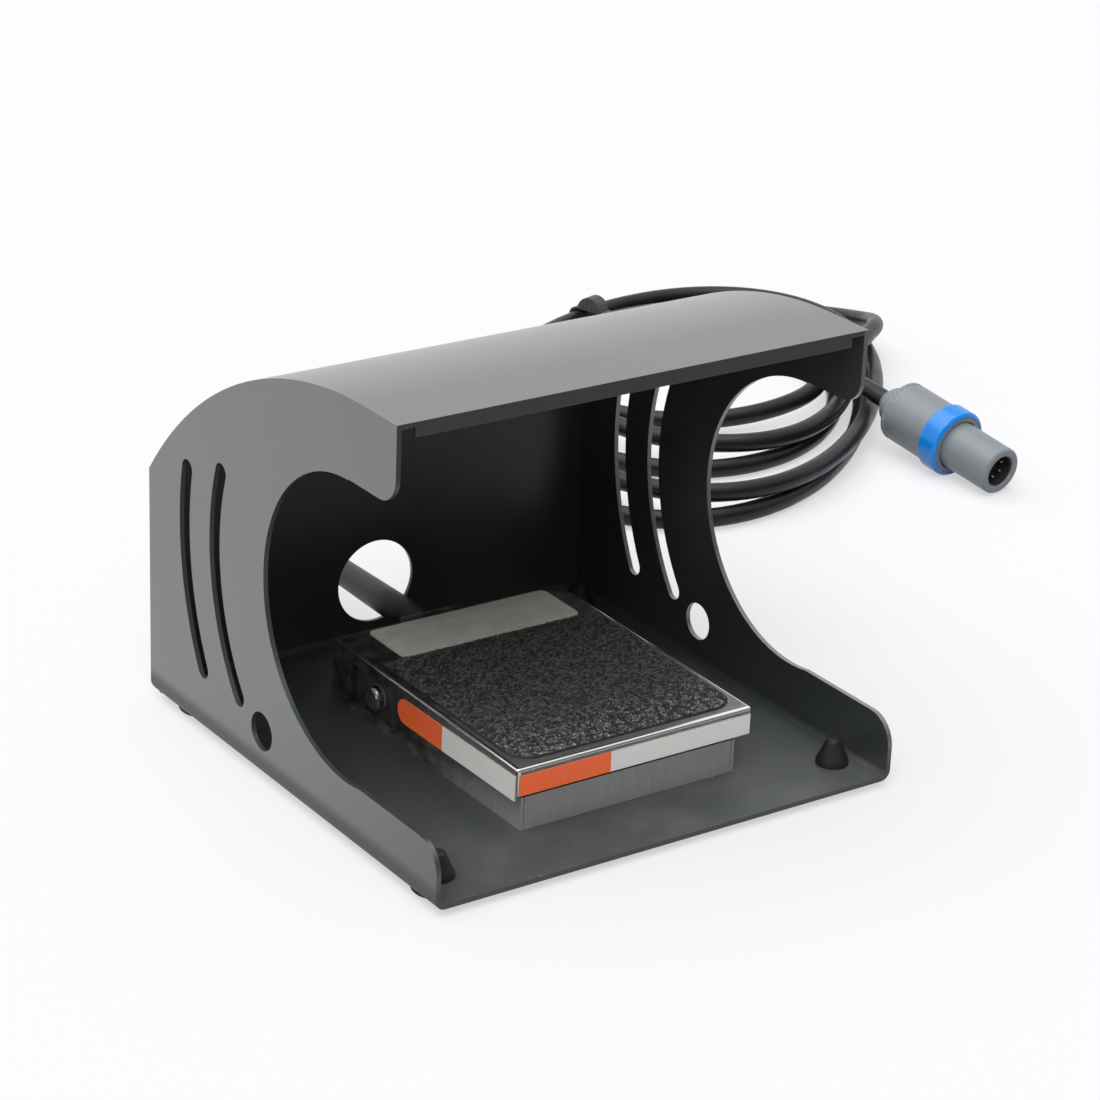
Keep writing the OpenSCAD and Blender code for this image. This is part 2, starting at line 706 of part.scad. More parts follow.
module clip_screw() {
    color("silver") in_guard() translate([-13, boot_start_y - 14, switch_z0 + 2])
        rotate([180, 0, 0]) pan_screw(screw_d, 5.2, 1.8, 2 + pedal_t);
}

// Moulded bush and taper round the cord, held by the tray's rear wall
module strain_relief() {
    wall_y = tray_front_y + tray_l - pedal_t;
    color("#2b2b2d") in_guard() translate([0, 0, cord_z]) rotate([-90, 0, 0])
        rotate_extrude() polygon([
            [cord_d / 2, boot_start_y], [6, boot_start_y], [6, wall_y], [tray_hole_d / 2, wall_y],
            [tray_hole_d / 2, wall_y + pedal_t], [5.9, wall_y + pedal_t],
            [5.9, wall_y + pedal_t + 2.4], [5, wall_y + pedal_t + 4],
            [4.2, boot_end_y - 0.6], [3.9, boot_end_y], [0, boot_end_y],
            [0, boot_end_y - 2], [cord_d / 2, boot_end_y - 2]]);
}

module cord_lead() {
    color("#232325") tube(lead_path, cord_d, cord_sides);
}

module cord_coil() {
    color("#232325") tube(coil_tube, cord_d, coil_sides);
}

module cord_tail() {
    color("#232325") tube(tail_path, cord_d, cord_sides);
}

// Outline of the tie: round ends about the strands between x0 and x1, from z0 to z1
module tie_loop(x0, x1, z0, z1) {
    r = cord_d / 2;
    polygon(concat(arc([x1 - r, z0 + r], r, -90, 0, 5), arc([x1 - r, z1 - r], r, 0, 90, 5),
                   arc([x0 + r, z1 - r], r, 90, 180, 5), arc([x0 + r, z0 + r], r, 180, 270, 5)));
}

// Soft tie round the outer two columns of strands at the back of the coil
module cord_tie() {
    at = 100;
    tie_w = 6;
    outer = coil_point(at);
    ahead = coil_point(at + 2);
    inner = coil_point(at + 360);
    a = atan2(ahead.y - outer.y, ahead.x - outer.x);
    x0 = -cord_d / 2 - 2.2;
    x1 = norm([inner.x - outer.x, inner.y - outer.y]) + cord_d / 2 + 1;
    z1 = tie_t + 2 * cord_d + coil_gap + 0.7;
    color("#141416") translate([outer.x, outer.y, 0]) rotate([90, 0, a + 90])
        translate([0, 0, -tie_w / 2]) linear_extrude(tie_w) {
            difference() {
                tie_loop(x0 - tie_t, x1 + tie_t, 0, z1 + tie_t);
                tie_loop(x0, x1, tie_t, z1);
            }
            translate([x0 + 3, z1]) polygon(arc([6, 0], 5.5, 0, 180, 10));
        }
}

// Children placed on the plug's axis, with +Z pointing from the nose to the cord
module on_plug() {
    translate(plug_nose) rotate([0, 0, plug_heading]) rotate([0, 90 - plug_slope, 0]) children();
}

// Profile turned about the plug's axis
module turned(points) {
    on_plug() rotate_extrude() polygon(points);
}

sleeve_r = plug_d / 2;
core_r = 9.2;

// Rear nut that grips the cord
module plug_back_nut() {
    color("dimgray") turned(concat(
        [[0, shell_end - 6], [7, shell_end - 6], [7, shell_end], [7.6, shell_end],
         [7.6, shell_end + 2]],
        arc([3.6, shell_end + 3], 3.6, 20, 60, 3),
        [[cord_d / 2 + 0.5, plug_end], [0, plug_end]]));
}

// Inner body with the nose
module plug_body() {
    nose_r0 = plug_nose_d / 2;
    bore_r = plug_bore_d / 2;
    color("gray") turned([
        [bore_r, 0.4], [bore_r + 0.4, 0], [nose_r0 - 0.7, 0], [nose_r0 - 0.1, 0.8],
        [nose_r0, nose_l + 3], [core_r, nose_l + 3], [core_r, shell_end - 6],
        [7, shell_end - 6], [0, shell_end - 6], [0, 14], [bore_r, 14]]);
}

// Outer latch sleeve that slides back along the body
module plug_sleeve() {
    in_r = core_r + 0.08;
    color("gray") turned([
        [in_r, nose_l], [sleeve_r - 0.6, nose_l], [sleeve_r - 0.6, nose_l + ring_l],
        [sleeve_r, nose_l + ring_l], [sleeve_r, shell_end - 3.4], [sleeve_r - 0.5, shell_end - 2.9],
        [sleeve_r - 0.5, shell_end - 2.3], [sleeve_r, shell_end - 1.8],
        [sleeve_r, shell_end - 1], [sleeve_r - 1, shell_end], [8.2, shell_end],
        [8.2, shell_end - 3], [in_r, shell_end - 3]]);
}

module plug_ring() {
    r = plug_ring_d / 2;
    color("dodgerblue") turned([
        [sleeve_r - 0.6, nose_l], [r - 1, nose_l], [r, nose_l + 1], [r, nose_l + ring_l - 1],
        [r - 1, nose_l + ring_l], [sleeve_r - 0.6, nose_l + ring_l]]);
}

module plug_insert() {
    color("#1b1b1d") turned([[0, 6.5], [plug_bore_d / 2, 6.5], [plug_bore_d / 2, 14], [0, 14]]);
}

module plug_pins() {
    color("gold") on_plug() for (a = [0:60:300]) rotate([0, 0, a]) translate([3.6, 0, 3])
        rotate_extrude($fn = 16) polygon([[0, 0], [0.3, 0.1], [0.5, 0.5], [0.5, 3.5], [0, 3.5]]);
}

guard_base();
guard_hood();
rubber_feet();
tray_screws();
tray_nuts();
switch_tray();
treadle();
tread_pad();
name_plate();
side_strip();
front_strip();
pivot_screws();
pivot_bushes();
pivot_nuts();
return_spring();
spring_seat();
switch_body();
switch_plunger();
switch_terminals();
switch_bracket();
switch_screws();
switch_nuts();
push_stud();
stud_nut();
inner_cord();
switch_wires();
cable_clip();
clip_screw();
strain_relief();
cord_lead();
cord_coil();
cord_tail();
cord_tie();
plug_back_nut();
plug_body();
plug_sleeve();
plug_ring();
plug_insert();
plug_pins();
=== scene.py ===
"""Looks of the guarded foot pedal.

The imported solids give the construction. This script dresses them: a powder-coated guard, a brushed
treadle switch with a grit pad, a coiled control cord and a round push-pull plug, on a pale floor.
"""

import functools
import logging
import math
from dataclasses import dataclass
from enum import Enum
from typing import Callable, ClassVar, Sequence, Union

import bmesh
import bpy
from mathutils import Matrix, Vector, noise


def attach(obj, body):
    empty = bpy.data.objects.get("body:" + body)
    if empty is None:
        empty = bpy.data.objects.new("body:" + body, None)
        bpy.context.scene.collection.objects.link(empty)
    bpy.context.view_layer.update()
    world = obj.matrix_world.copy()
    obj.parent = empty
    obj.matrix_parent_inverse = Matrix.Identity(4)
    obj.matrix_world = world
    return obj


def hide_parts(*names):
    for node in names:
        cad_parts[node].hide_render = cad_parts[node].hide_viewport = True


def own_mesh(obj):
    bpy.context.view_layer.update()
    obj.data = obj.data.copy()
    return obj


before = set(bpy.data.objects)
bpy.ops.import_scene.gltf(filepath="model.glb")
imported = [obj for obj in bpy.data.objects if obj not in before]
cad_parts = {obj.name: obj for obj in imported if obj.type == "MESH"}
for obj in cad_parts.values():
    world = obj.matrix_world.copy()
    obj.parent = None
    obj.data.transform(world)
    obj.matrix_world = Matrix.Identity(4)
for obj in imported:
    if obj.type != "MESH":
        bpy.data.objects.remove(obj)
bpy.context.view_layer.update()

MM = 0.001
PER_MM = 1000.0
SHARP_ANGLE = 25.0  # degrees, above which an edge is rounded
SHADE_ANGLE = 28.0  # degrees, up to which shading runs on over an edge
FLAT_ANGLE = 0.4  # degrees, up to which two faces are taken for one
SAME_POINT = 0.002  # mm, up to which two corners are taken for one
IN_PLANE = 0.01  # mm, by which an edge may miss a plane that it lies in
NOISE_LOW, NOISE_HIGH = 0.3, 0.7  # most of a noise lies between these
log = logging.getLogger("foot_pedal")

Colour = tuple[float, float, float]
Place = tuple[float, float, float]
Socket = bpy.types.NodeSocket
Feed = Union[float, Sequence[float], Socket]
EdgeTest = Callable[[bmesh.types.BMEdge], bool]
FaceTest = Callable[[bmesh.types.BMFace], bool]


class Body(Enum):
    """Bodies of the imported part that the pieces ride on."""

    GUARD = "guard"
    TREADLE = "treadle_plate"
    LATCH = "latch_sleeve"


class Brushing(Enum):
    """Direction of the brushed lines, as line frequencies per millimetre along X, Y and Z."""

    ALONG_X = (0.05, 5.0, 5.0)
    ALONG_Z = (5.0, 5.0, 0.09)


# Shading


class ShaderTree:
    """A node tree with short methods for the nodes that the finishes use."""

    def __init__(self, tree: bpy.types.NodeTree) -> None:
        """Wraps a tree.

        Args:
            tree: the material's or group's node tree.
        """
        self.tree = tree

    def node(self, kind: str, **settings: object) -> bpy.types.Node:
        """Adds a node.

        Args:
            kind: the node's Blender type.
            **settings: attributes to set on it.

        Returns:
            The new node.
        """
        made = self.tree.nodes.new(kind)
        for name, value in settings.items():
            setattr(made, name, value)
        return made

    def put(self, socket: Socket, value: Feed) -> None:
        """Links an input to another socket, or sets its own value.

        Args:
            socket: the input.
            value: the socket that feeds it, or its value.
        """
        if isinstance(value, Socket):
            self.tree.links.new(value, socket)
        else:
            socket.default_value = value

    def math(self, kind: str, a: Feed, b: Feed = 0.0, clamp: bool = False) -> Socket:
        """Adds a Math node.

        Args:
            kind: its operation.
            a: the first value.
            b: the second value.
            clamp: whether the result is kept between 0 and 1.

        Returns:
            The result.
        """
        made = self.node("ShaderNodeMath", operation=kind, use_clamp=clamp)
        self.put(made.inputs[0], a)
        self.put(made.inputs[1], b)
        return made.outputs[0]

    def times(self, a: Feed, b: Feed, clamp: bool = False) -> Socket:
        """Returns the product of two values."""
        return self.math("MULTIPLY", a, b, clamp)

    def plus(self, a: Feed, b: Feed) -> Socket:
        """Returns the sum of two values."""
        return self.math("ADD", a, b)

    def minus(self, a: Feed, b: Feed) -> Socket:
        """Returns the first value less the second."""
        return self.math("SUBTRACT", a, b)

    def most(self, a: Feed, b: Feed) -> Socket:
        """Returns the greater of two values."""
        return self.math("MAXIMUM", a, b)

    def mix(self, factor: Feed, a: Feed, b: Feed) -> Socket:
        """Mixes two colours.

        Args:
            factor: how much of the second shows.
            a: the first colour.
            b: the second colour.

        Returns:
            The mixed colour.
        """
        made = self.node("ShaderNodeMix", data_type="RGBA")
        self.put(made.inputs[0], factor)
        for socket, value in ((made.inputs[6], a), (made.inputs[7], b)):
            self.put(socket, value if isinstance(value, Socket) else (*value, 1.0))
        return made.outputs[2]

    def remap(self, value: Feed, low: Feed, high: Feed, to_low: Feed = 0.0,
              to_high: Feed = 1.0) -> Socket:
        """Maps a range of a value onto another, smoothly and clamped.

        Args:
            value: the value.
            low: start of its range.
            high: end of its range.
            to_low: what the start becomes.
            to_high: what the end becomes.

        Returns:
            The result.
        """
        made = self.node("ShaderNodeMapRange", interpolation_type="SMOOTHSTEP", clamp=True)
        for socket, given in zip(made.inputs, (value, low, high, to_low, to_high)):
            self.put(socket, given)
        return made.outputs[0]

    def ease(self, value: Feed, to_low: Feed, to_high: Feed) -> Socket:
        """Maps 0 to 1 onto another range."""
        return self.remap(value, 0.0, 1.0, to_low, to_high)

    def spread(self, value: Feed, to_low: Feed = 0.0, to_high: Feed = 1.0) -> Socket:
        """Maps what a noise mostly takes onto another range."""
        return self.remap(value, NOISE_LOW, NOISE_HIGH, to_low, to_high)

    def place(self) -> Socket:
        """Returns the place on the piece, in metres in the part's frame."""
        return self.node("ShaderNodeTexCoord").outputs["Object"]

    def scaled(self, factors: Sequence[Feed]) -> Socket:
        """Multiplies the place.

        Args:
            factors: a factor along each axis.

        Returns:
            The multiplied place.
        """
        combined = self.node("ShaderNodeCombineXYZ")
        for socket, factor in zip(combined.inputs, factors):
            self.put(socket, factor)
        made = self.node("ShaderNodeVectorMath", operation="MULTIPLY")
        self.put(made.inputs[0], self.place())
        self.put(made.inputs[1], combined.outputs[0])
        return made.outputs[0]

    def axis(self, name: str) -> Socket:
        """Takes one coordinate of the place.

        Args:
            name: X, Y or Z.

        Returns:
            The coordinate, in metres.
        """
        made = self.node("ShaderNodeSeparateXYZ")
        self.put(made.inputs[0], self.place())
        return made.outputs[name]

    def noise(self, place: Socket, scale: Feed, detail: float, roughness: float = 0.5) -> Socket:
        """Adds a noise texture.

        Args:
            place: the place that it is read at.
            scale: its frequency per metre.
            detail: its finer layers.
            roughness: how strong these are.

        Returns:
            Its value.
        """
        made = self.node("ShaderNodeTexNoise")
        self.put(made.inputs["Vector"], place)
        self.put(made.inputs["Scale"], scale)
        made.inputs["Detail"].default_value = detail
        made.inputs["Roughness"].default_value = roughness
        return made.outputs[0]

    def bump(self, height: Feed, strength: Feed, distance: Feed) -> Socket:
        """Adds a Bump node.

        Args:
            height: the relief, from 0 to 1.
            strength: how much of it shows.
            distance: how deep it is, in metres.

        Returns:
            Its normal.
        """
        made = self.node("ShaderNodeBump")
        self.put(made.inputs["Strength"], strength)
        self.put(made.inputs["Distance"], distance)
        self.put(made.inputs["Height"], height)
        return made.outputs[0]

    def effect(self, group: bpy.types.NodeTree, **values: Feed) -> bpy.types.NodeOutputs:
        """Places a shared effect with its own values.

        Args:
            group: the effect's node group.
            **values: input names, with underscores for spaces, and their values.

        Returns:
            The effect's outputs.
        """
        made = self.node("ShaderNodeGroup", node_tree=group)
        for name, value in values.items():
            self.put(made.inputs[name.replace("_", " ")], value)
        return made.outputs


class Effect(ShaderTree):
    """A shader node group with named inputs and outputs."""

    def __init__(self, name: str, inputs: dict[str, float], *values: str,
                 normal: bool = False) -> None:
        """Makes the empty group.

        Args:
            name: the group's name.
            inputs: float inputs and their defaults.
            *values: names of its float outputs.
            normal: whether it puts out a normal too.
        """
        group = bpy.data.node_groups.new(name, "ShaderNodeTree")
        for label, value in inputs.items():
            socket = group.interface.new_socket(label, in_out="INPUT", socket_type="NodeSocketFloat")
            socket.default_value = value
        for label in values:
            group.interface.new_socket(label, in_out="OUTPUT", socket_type="NodeSocketFloat")
        if normal:
            group.interface.new_socket("Normal", in_out="OUTPUT", socket_type="NodeSocketVector")
        super().__init__(group)
        self.given = self.node("NodeGroupInput").outputs
        self.result = self.node("NodeGroupOutput").inputs

    def put_relief(self, value: Socket, strength: Feed) -> None:
        """Puts out a value and the normal of its relief.

        Args:
            value: the value, whose depth in millimetres is the input Depth.
            strength: how much of the relief shows.
        """
        depth = self.times(self.given["Depth"], MM)
        self.put(self.result["Value"], value)
        self.put(self.result["Normal"], self.bump(value, strength, depth))


@functools.cache
def grain() -> bpy.types.NodeTree:
    """Builds fine two-scale grain, as on powder coat, rubber or moulded plastic.

    Returns:
        The effect's group.
    """
    finer, coarse_share = 3.3, 0.6
    made = Effect("grain", {"Scale": 1.0, "Depth": 0.1, "Strength": 1.0}, "Value", normal=True)
    coarse = made.times(made.given["Scale"], PER_MM)
    place = made.place()
    low = made.times(made.noise(place, coarse, 2.0), coarse_share)
    high = made.times(made.noise(place, made.times(coarse, finer), 1.0), 1.0 - coarse_share)
    made.put_relief(made.plus(low, high), made.given["Strength"])
    return made.tree


@functools.cache
def streaks() -> bpy.types.NodeTree:
    """Builds brushed lines, longest along the axis with the lowest frequency.

    Returns:
        The effect's group.
    """
    axes = ("Across X", "Across Y", "Across Z")
    made = Effect("streaks", {**{name: 5.0 for name in axes}, "Depth": 0.02}, "Value", normal=True)
    factors = [made.times(made.given[name], PER_MM) for name in axes]
    made.put_relief(made.noise(made.scaled(factors), 1.0, 3.0, 0.65), 1.0)
    return made.tree


@functools.cache
def edge_wear() -> bpy.types.NodeTree:
    """Builds a broken mask on the faces that a mesh marks as worn.

    Returns:
        The effect's group.
    """
    threshold, steepness = 0.75, 4.0
    made = Effect("edge_wear", {"Amount": 0.5, "Scale": 0.6}, "Mask")
    worn = made.node("ShaderNodeAttribute", attribute_type="GEOMETRY", attribute_name="worn")
    scale = made.times(made.given["Scale"], PER_MM)
    broken = made.noise(made.place(), scale, 4.0, 0.7)
    reach = made.times(made.given["Amount"], worn.outputs["Fac"])
    left = made.minus(made.plus(broken, reach), threshold)
    made.put(made.result["Mask"], made.times(left, steepness, clamp=True))
    return made.tree


@functools.cache
def dust() -> bpy.types.NodeTree:
    """Builds pale haze and single specks, strongest on faces that look up.

    Returns:
        The effect's group.
    """
    haze_scale, largest_speck = 0.05, 0.09
    made = Effect("dust", {"Haze": 0.3, "Specks": 0.3, "Spacing": 3.0}, "Haze", "Specks")
    facing = made.node("ShaderNodeSeparateXYZ")
    made.put(facing.inputs[0], made.node("ShaderNodeNewGeometry").outputs["True Normal"])
    up = made.remap(facing.outputs["Z"], 0.1, 0.9)
    cloud = made.noise(made.place(), haze_scale * PER_MM, 5.0, 0.6)
    haze = made.times(made.remap(cloud, 0.42, 0.68), made.given["Haze"])
    made.put(made.result["Haze"], made.times(haze, up))
    cells = made.node("ShaderNodeTexVoronoi", feature="F1")
    made.put(cells.inputs["Vector"], made.place())
    made.put(cells.inputs["Scale"], made.math("DIVIDE", PER_MM, made.given["Spacing"]))
    pick = made.node("ShaderNodeSeparateColor")
    made.put(pick.inputs[0], cells.outputs["Color"])
    size = made.remap(pick.outputs[0], 0.55, 1.0, 0.0, largest_speck)
    spot = made.math("LESS_THAN", cells.outputs["Distance"], size)
    some = made.times(spot, made.given["Specks"])
    made.put(made.result["Specks"], made.times(some, up))
    return made.tree


@functools.cache
def clouds() -> bpy.types.NodeTree:
    """Builds broad uneven patches, from 0 to 1.

    Returns:
        The effect's group.
    """
    made = Effect("clouds", {"Size": 20.0, "Contrast": 0.2}, "Value")
    scale = made.math("DIVIDE", PER_MM, made.given["Size"])
    value = made.noise(made.place(), scale, 4.0, 0.6)
    low = made.minus(0.5, made.given["Contrast"])
    high = made.plus(0.5, made.given["Contrast"])
    made.put(made.result["Value"], made.remap(value, low, high))
    return made.tree


class Skin(ShaderTree):
    """A material's node tree, with its Principled shader."""

    def __init__(self, material: bpy.types.Material) -> None:
        """Wraps a material.

        Args:
            material: the new material.
        """
        material.use_nodes = True
        super().__init__(material.node_tree)
        self.inputs = material.node_tree.nodes["Principled BSDF"].inputs

    def surface(self, **values: Feed) -> None:
        """Feeds the shader.

        Args:
            **values: input names, with underscores for spaces, and their values.
        """
        for name, value in values.items():
            self.put(self.inputs[name.replace("_", " ")], value)

    def patches(self, size: float, contrast: float) -> Socket:
        """Returns patches from 0 to 1, with their size in millimetres."""
        return self.effect(clouds(), Size=size, Contrast=contrast)["Value"]

    def wear(self, amount: float, scale: float) -> Socket:
        """Returns the mask of worn edges, with its breaks per millimetre."""
        return self.effect(edge_wear(), Amount=amount, Scale=scale)["Mask"]


def dimmed(colour: Colour, share: float) -> Colour:
    """Returns a share of a colour."""
    return tuple(share * part for part in colour)


# Finishes


@dataclass(frozen=True)
class Finish:
    """What every finish has: a material name and the record's slot."""

    name: str
    slot: str

    def shade(self, skin: Skin) -> None:
        """Dresses a material.

        Args:
            skin: the material's tree.
        """
        raise NotImplementedError

    @functools.cache
    def material(self) -> bpy.types.Material:
        """Builds this finish's material once.

        Returns:
            The material.
        """
        made = bpy.data.materials.new(self.name)
        self.shade(Skin(made))
        return made


@dataclass(frozen=True)
class PowderCoat(Finish):
    """Satin powder coat with orange peel, paler on the right plate's cut edges, dusty and dull on
    the pan, with painted light on its front.
    """

    paint: Colour = (0.027, 0.031, 0.031)
    bare: Colour = (0.13, 0.108, 0.095)
    dust_tint: Colour = (0.34, 0.335, 0.32)
    roughness: float = 0.42
    pan_z: tuple[float, float] = (0.006, 0.012)
    front_y: tuple[float, float] = (-0.075, -0.03)
    shaded_inner_dust: float = 0.08
    upper_dust: float = 0.28
    patchy_dust: float = 0.5
    even_dust: float = 0.022
    pan_dulling: float = 0.22
    pan_coat: float = 0.15

    def shade(self, skin: Skin) -> None:
        """Dresses a material with paint, wear, dust and painted light on the front of the pan.

        Args:
            skin: the material's tree.
        """
        peel = skin.effect(grain(), Scale=1.4, Depth=0.05, Strength=0.5)
        dirt = skin.effect(dust(), Haze=0.16, Specks=0.7, Spacing=3.0)
        low = skin.remap(skin.axis("Z"), *self.pan_z, 1.0, 0.0)
        # painted light: the pan's dust is heaviest at the front and thins inwards, partly real dust
        # and partly painted light that keeps the front of the pan paler than its inside
        trodden_and_lit = skin.remap(skin.axis("Y"), *self.front_y, 1.0, self.shaded_inner_dust)
        above = skin.times(skin.minus(1.0, low), self.upper_dust)
        share = skin.plus(above, skin.times(low, trodden_and_lit))
        haze = skin.plus(skin.times(dirt["Haze"], self.patchy_dust), self.even_dust)
        paint = skin.mix(skin.patches(35.0, 0.25), dimmed(self.paint, 0.85), self.paint)
        paint = skin.mix(skin.wear(0.62, 0.5), paint, self.bare)
        paint = skin.mix(skin.times(haze, share), paint, self.dust_tint)
        paint = skin.mix(dirt["Specks"], paint, self.dust_tint)
        rough = skin.spread(peel["Value"], self.roughness - 0.04, self.roughness + 0.05)
        skin.surface(Base_Color=paint, Normal=peel["Normal"], IOR=1.9, Coat_Roughness=0.34,
                     Roughness=skin.plus(rough, skin.times(low, self.pan_dulling)),
                     Coat_Weight=skin.ease(low, 1.0, self.pan_coat),
                     Specular_Tint=(0.96, 1.0, 1.0, 1.0))


@dataclass(frozen=True)
class Rubber(Finish):
    """Rubber or soft jacket with a fine skin."""

    colour: Colour = (0.025, 0.025, 0.027)
    scuffed: Colour = (0.07, 0.07, 0.072)
    roughness: float = 0.5
    grain_scale: float = 1.2
    grain_depth: float = 0.04
    ior: float = 1.4

    def shade(self, skin: Skin) -> None:
        """Dresses a material with a fine skin and faint scuffs.

        Args:
            skin: the material's tree.
        """
        fine = skin.effect(grain(), Scale=self.grain_scale, Depth=self.grain_depth, Strength=0.6)
        patches = skin.patches(9.0, 0.22)
        skin.surface(Base_Color=skin.mix(skin.times(patches, 0.22), self.colour, self.scuffed),
                     Roughness=skin.ease(patches, self.roughness - 0.05, self.roughness + 0.07),
                     Normal=fine["Normal"], IOR=self.ior)


@dataclass(frozen=True)
class BrushedSteel(Finish):
    """Folded stainless sheet with brushed lines, and a grimy patina with painted shade that darkens
    it towards the back.
    """

    brushing: Brushing = Brushing.ALONG_Z
    steel: Colour = (0.66, 0.65, 0.63)
    rubbed: Colour = (0.95, 0.94, 0.92)
    grime: Colour = (0.05, 0.044, 0.037)
    unshaded_y: float = -0.058
    grimy_shaded_y: float = 0.0
    least_grime_and_shade: float = 0.55
    most_grime_and_shade: float = 0.92
    roughness: float = 0.22
    grimy_roughness: float = 0.6
    metal: float = 1.0

    def shade(self, skin: Skin) -> None:
        """Dresses a material with lines, patina with painted shade towards the back, and worn bends.

        Args:
            skin: the material's tree.
        """
        x, y, z = self.brushing.value
        lines = skin.effect(streaks(), Across_X=x, Across_Y=y, Across_Z=z, Depth=0.012)
        worn = skin.wear(1.3, 0.9)
        # painted shade: the dark patina colour grows from the front towards the back, partly real
        # grime and partly the shade under the hood and the treadle
        back = skin.remap(skin.axis("Y"), self.unshaded_y, self.grimy_shaded_y, self.least_grime_and_shade,
                          self.most_grime_and_shade)
        dull = skin.times(back, skin.ease(skin.patches(7.0, 0.3), 0.65, 1.0))
        dull = skin.times(dull, skin.minus(1.0, skin.times(worn, 0.97)))
        steel = skin.mix(skin.spread(lines["Value"]), dimmed(self.steel, 0.8), self.steel)
        steel = skin.mix(worn, steel, self.rubbed)
        rough = skin.remap(dull, 0.0, 0.6, self.roughness, self.grimy_roughness)
        skin.surface(Base_Color=skin.mix(dull, steel, self.grime), Roughness=rough,
                     Normal=lines["Normal"], Metallic=self.metal)


@dataclass(frozen=True)
class BrightMetal(Finish):
    """Plated or drawn metal of screws, nuts, springs and contacts."""

    metal: Colour = (0.62, 0.61, 0.58)
    stain: Colour = (0.25, 0.23, 0.20)
    roughness: float = 0.22

    def shade(self, skin: Skin) -> None:
        """Dresses a material with plating and small stains.

        Args:
            skin: the material's tree.
        """
        fine = skin.effect(grain(), Scale=3.0, Depth=0.01, Strength=0.5)
        patches = skin.patches(2.5, 0.15)
        skin.surface(Base_Color=skin.mix(skin.times(patches, 0.35), self.metal, self.stain),
                     Roughness=skin.ease(patches, self.roughness, self.roughness + 0.16),
                     Normal=fine["Normal"], Metallic=1.0)


@dataclass(frozen=True)
class Moulded(Finish):
    """Moulded plastic with a fine spark-eroded grain."""

    colour: Colour = (0.30, 0.32, 0.34)
    soiled: Colour = (0.20, 0.20, 0.19)
    roughness: float = 0.42
    grain_depth: float = 0.02

    def shade(self, skin: Skin) -> None:
        """Dresses a material with grain, faint soiling and paler worn edges.

        Args:
            skin: the material's tree.
        """
        fine = skin.effect(grain(), Scale=2.6, Depth=self.grain_depth, Strength=0.6)
        paler = tuple(min(1.0, 1.35 * part + 0.02) for part in self.colour)
        colour = skin.mix(skin.times(skin.patches(11.0, 0.2), 0.18), self.colour, self.soiled)
        rough = skin.spread(fine["Value"], self.roughness - 0.04, self.roughness + 0.04)
        skin.surface(Base_Color=skin.mix(skin.wear(0.35, 0.7), colour, paler), Roughness=rough,
                     Normal=fine["Normal"], IOR=1.5)


@dataclass(frozen=True)
class Grit(Finish):
    """Mineral grit bonded to a black sheet, with pale flecks on the grains that stand highest:
    partly polish, partly painted highlight, strongest at the front and fading towards the back.
    """

    binder: Colour = (0.016, 0.016, 0.016)
    grain_tint: Colour = (0.058, 0.058, 0.055)
    polished: Colour = (0.50, 0.49, 0.46)
    speck: Colour = (0.30, 0.30, 0.29)
    front_y: tuple[float, float] = (-0.058, -0.03)
    lit_front_polish: float = 0.34
    shaded_inner_polish: float = 0.06

    def shade(self, skin: Skin) -> None:
        """Dresses a material with binder, grains and pale flecks of polish and painted highlight.

        Args:
            skin: the material's tree.
        """
        height = skin.node("ShaderNodeAttribute", attribute_type="GEOMETRY",
                           attribute_name="height").outputs["Fac"]
        grains = skin.noise(skin.place(), 2.4 * PER_MM, 2.0, 0.6)
        specks = skin.effect(dust(), Specks=0.8, Spacing=1.6)["Specks"]
        # painted light: the pale flecks fade from the front of the pad towards the back, partly real
        # polish and partly painted highlight
        front = skin.remap(skin.axis("Y"), *self.front_y, self.lit_front_polish, self.shaded_inner_polish)
        peaks = skin.times(skin.remap(height, 0.35, 0.8), front)
        picked = skin.times(peaks, skin.remap(grains, 0.46, 0.60, 0.0, 3.0), clamp=True)
        colour = skin.mix(skin.remap(height, 0.15, 0.8), self.binder, self.grain_tint)
        colour = skin.mix(picked, colour, self.polished)
        skin.surface(Base_Color=skin.mix(specks, colour, self.speck),
                     Roughness=skin.spread(grains, 0.5, 0.85),
                     Normal=skin.bump(grains, 0.6, 0.15 * MM))


@dataclass(frozen=True)
class Foil(Finish):
    """Bare silvered foil, yellowed and rubbed."""

    foil: Colour = (0.76, 0.75, 0.67)
    rubbed: Colour = (0.46, 0.45, 0.38)

    def shade(self, skin: Skin) -> None:
        """Dresses a material with foil, rubbed patches and fine scratches.

        Args:
            skin: the material's tree.
        """
        patches = skin.patches(9.0, 0.22)
        scratches = skin.effect(streaks(), Across_X=0.4, Across_Y=6.0, Across_Z=6.0, Depth=0.006)
        colour = skin.mix(skin.times(patches, 0.45), self.foil, self.rubbed)
        skin.surface(Base_Color=skin.mix(skin.wear(0.8, 0.8), colour, self.rubbed),
                     Roughness=skin.ease(patches, 0.38, 0.55), Normal=scratches["Normal"],
                     Metallic=0.15)


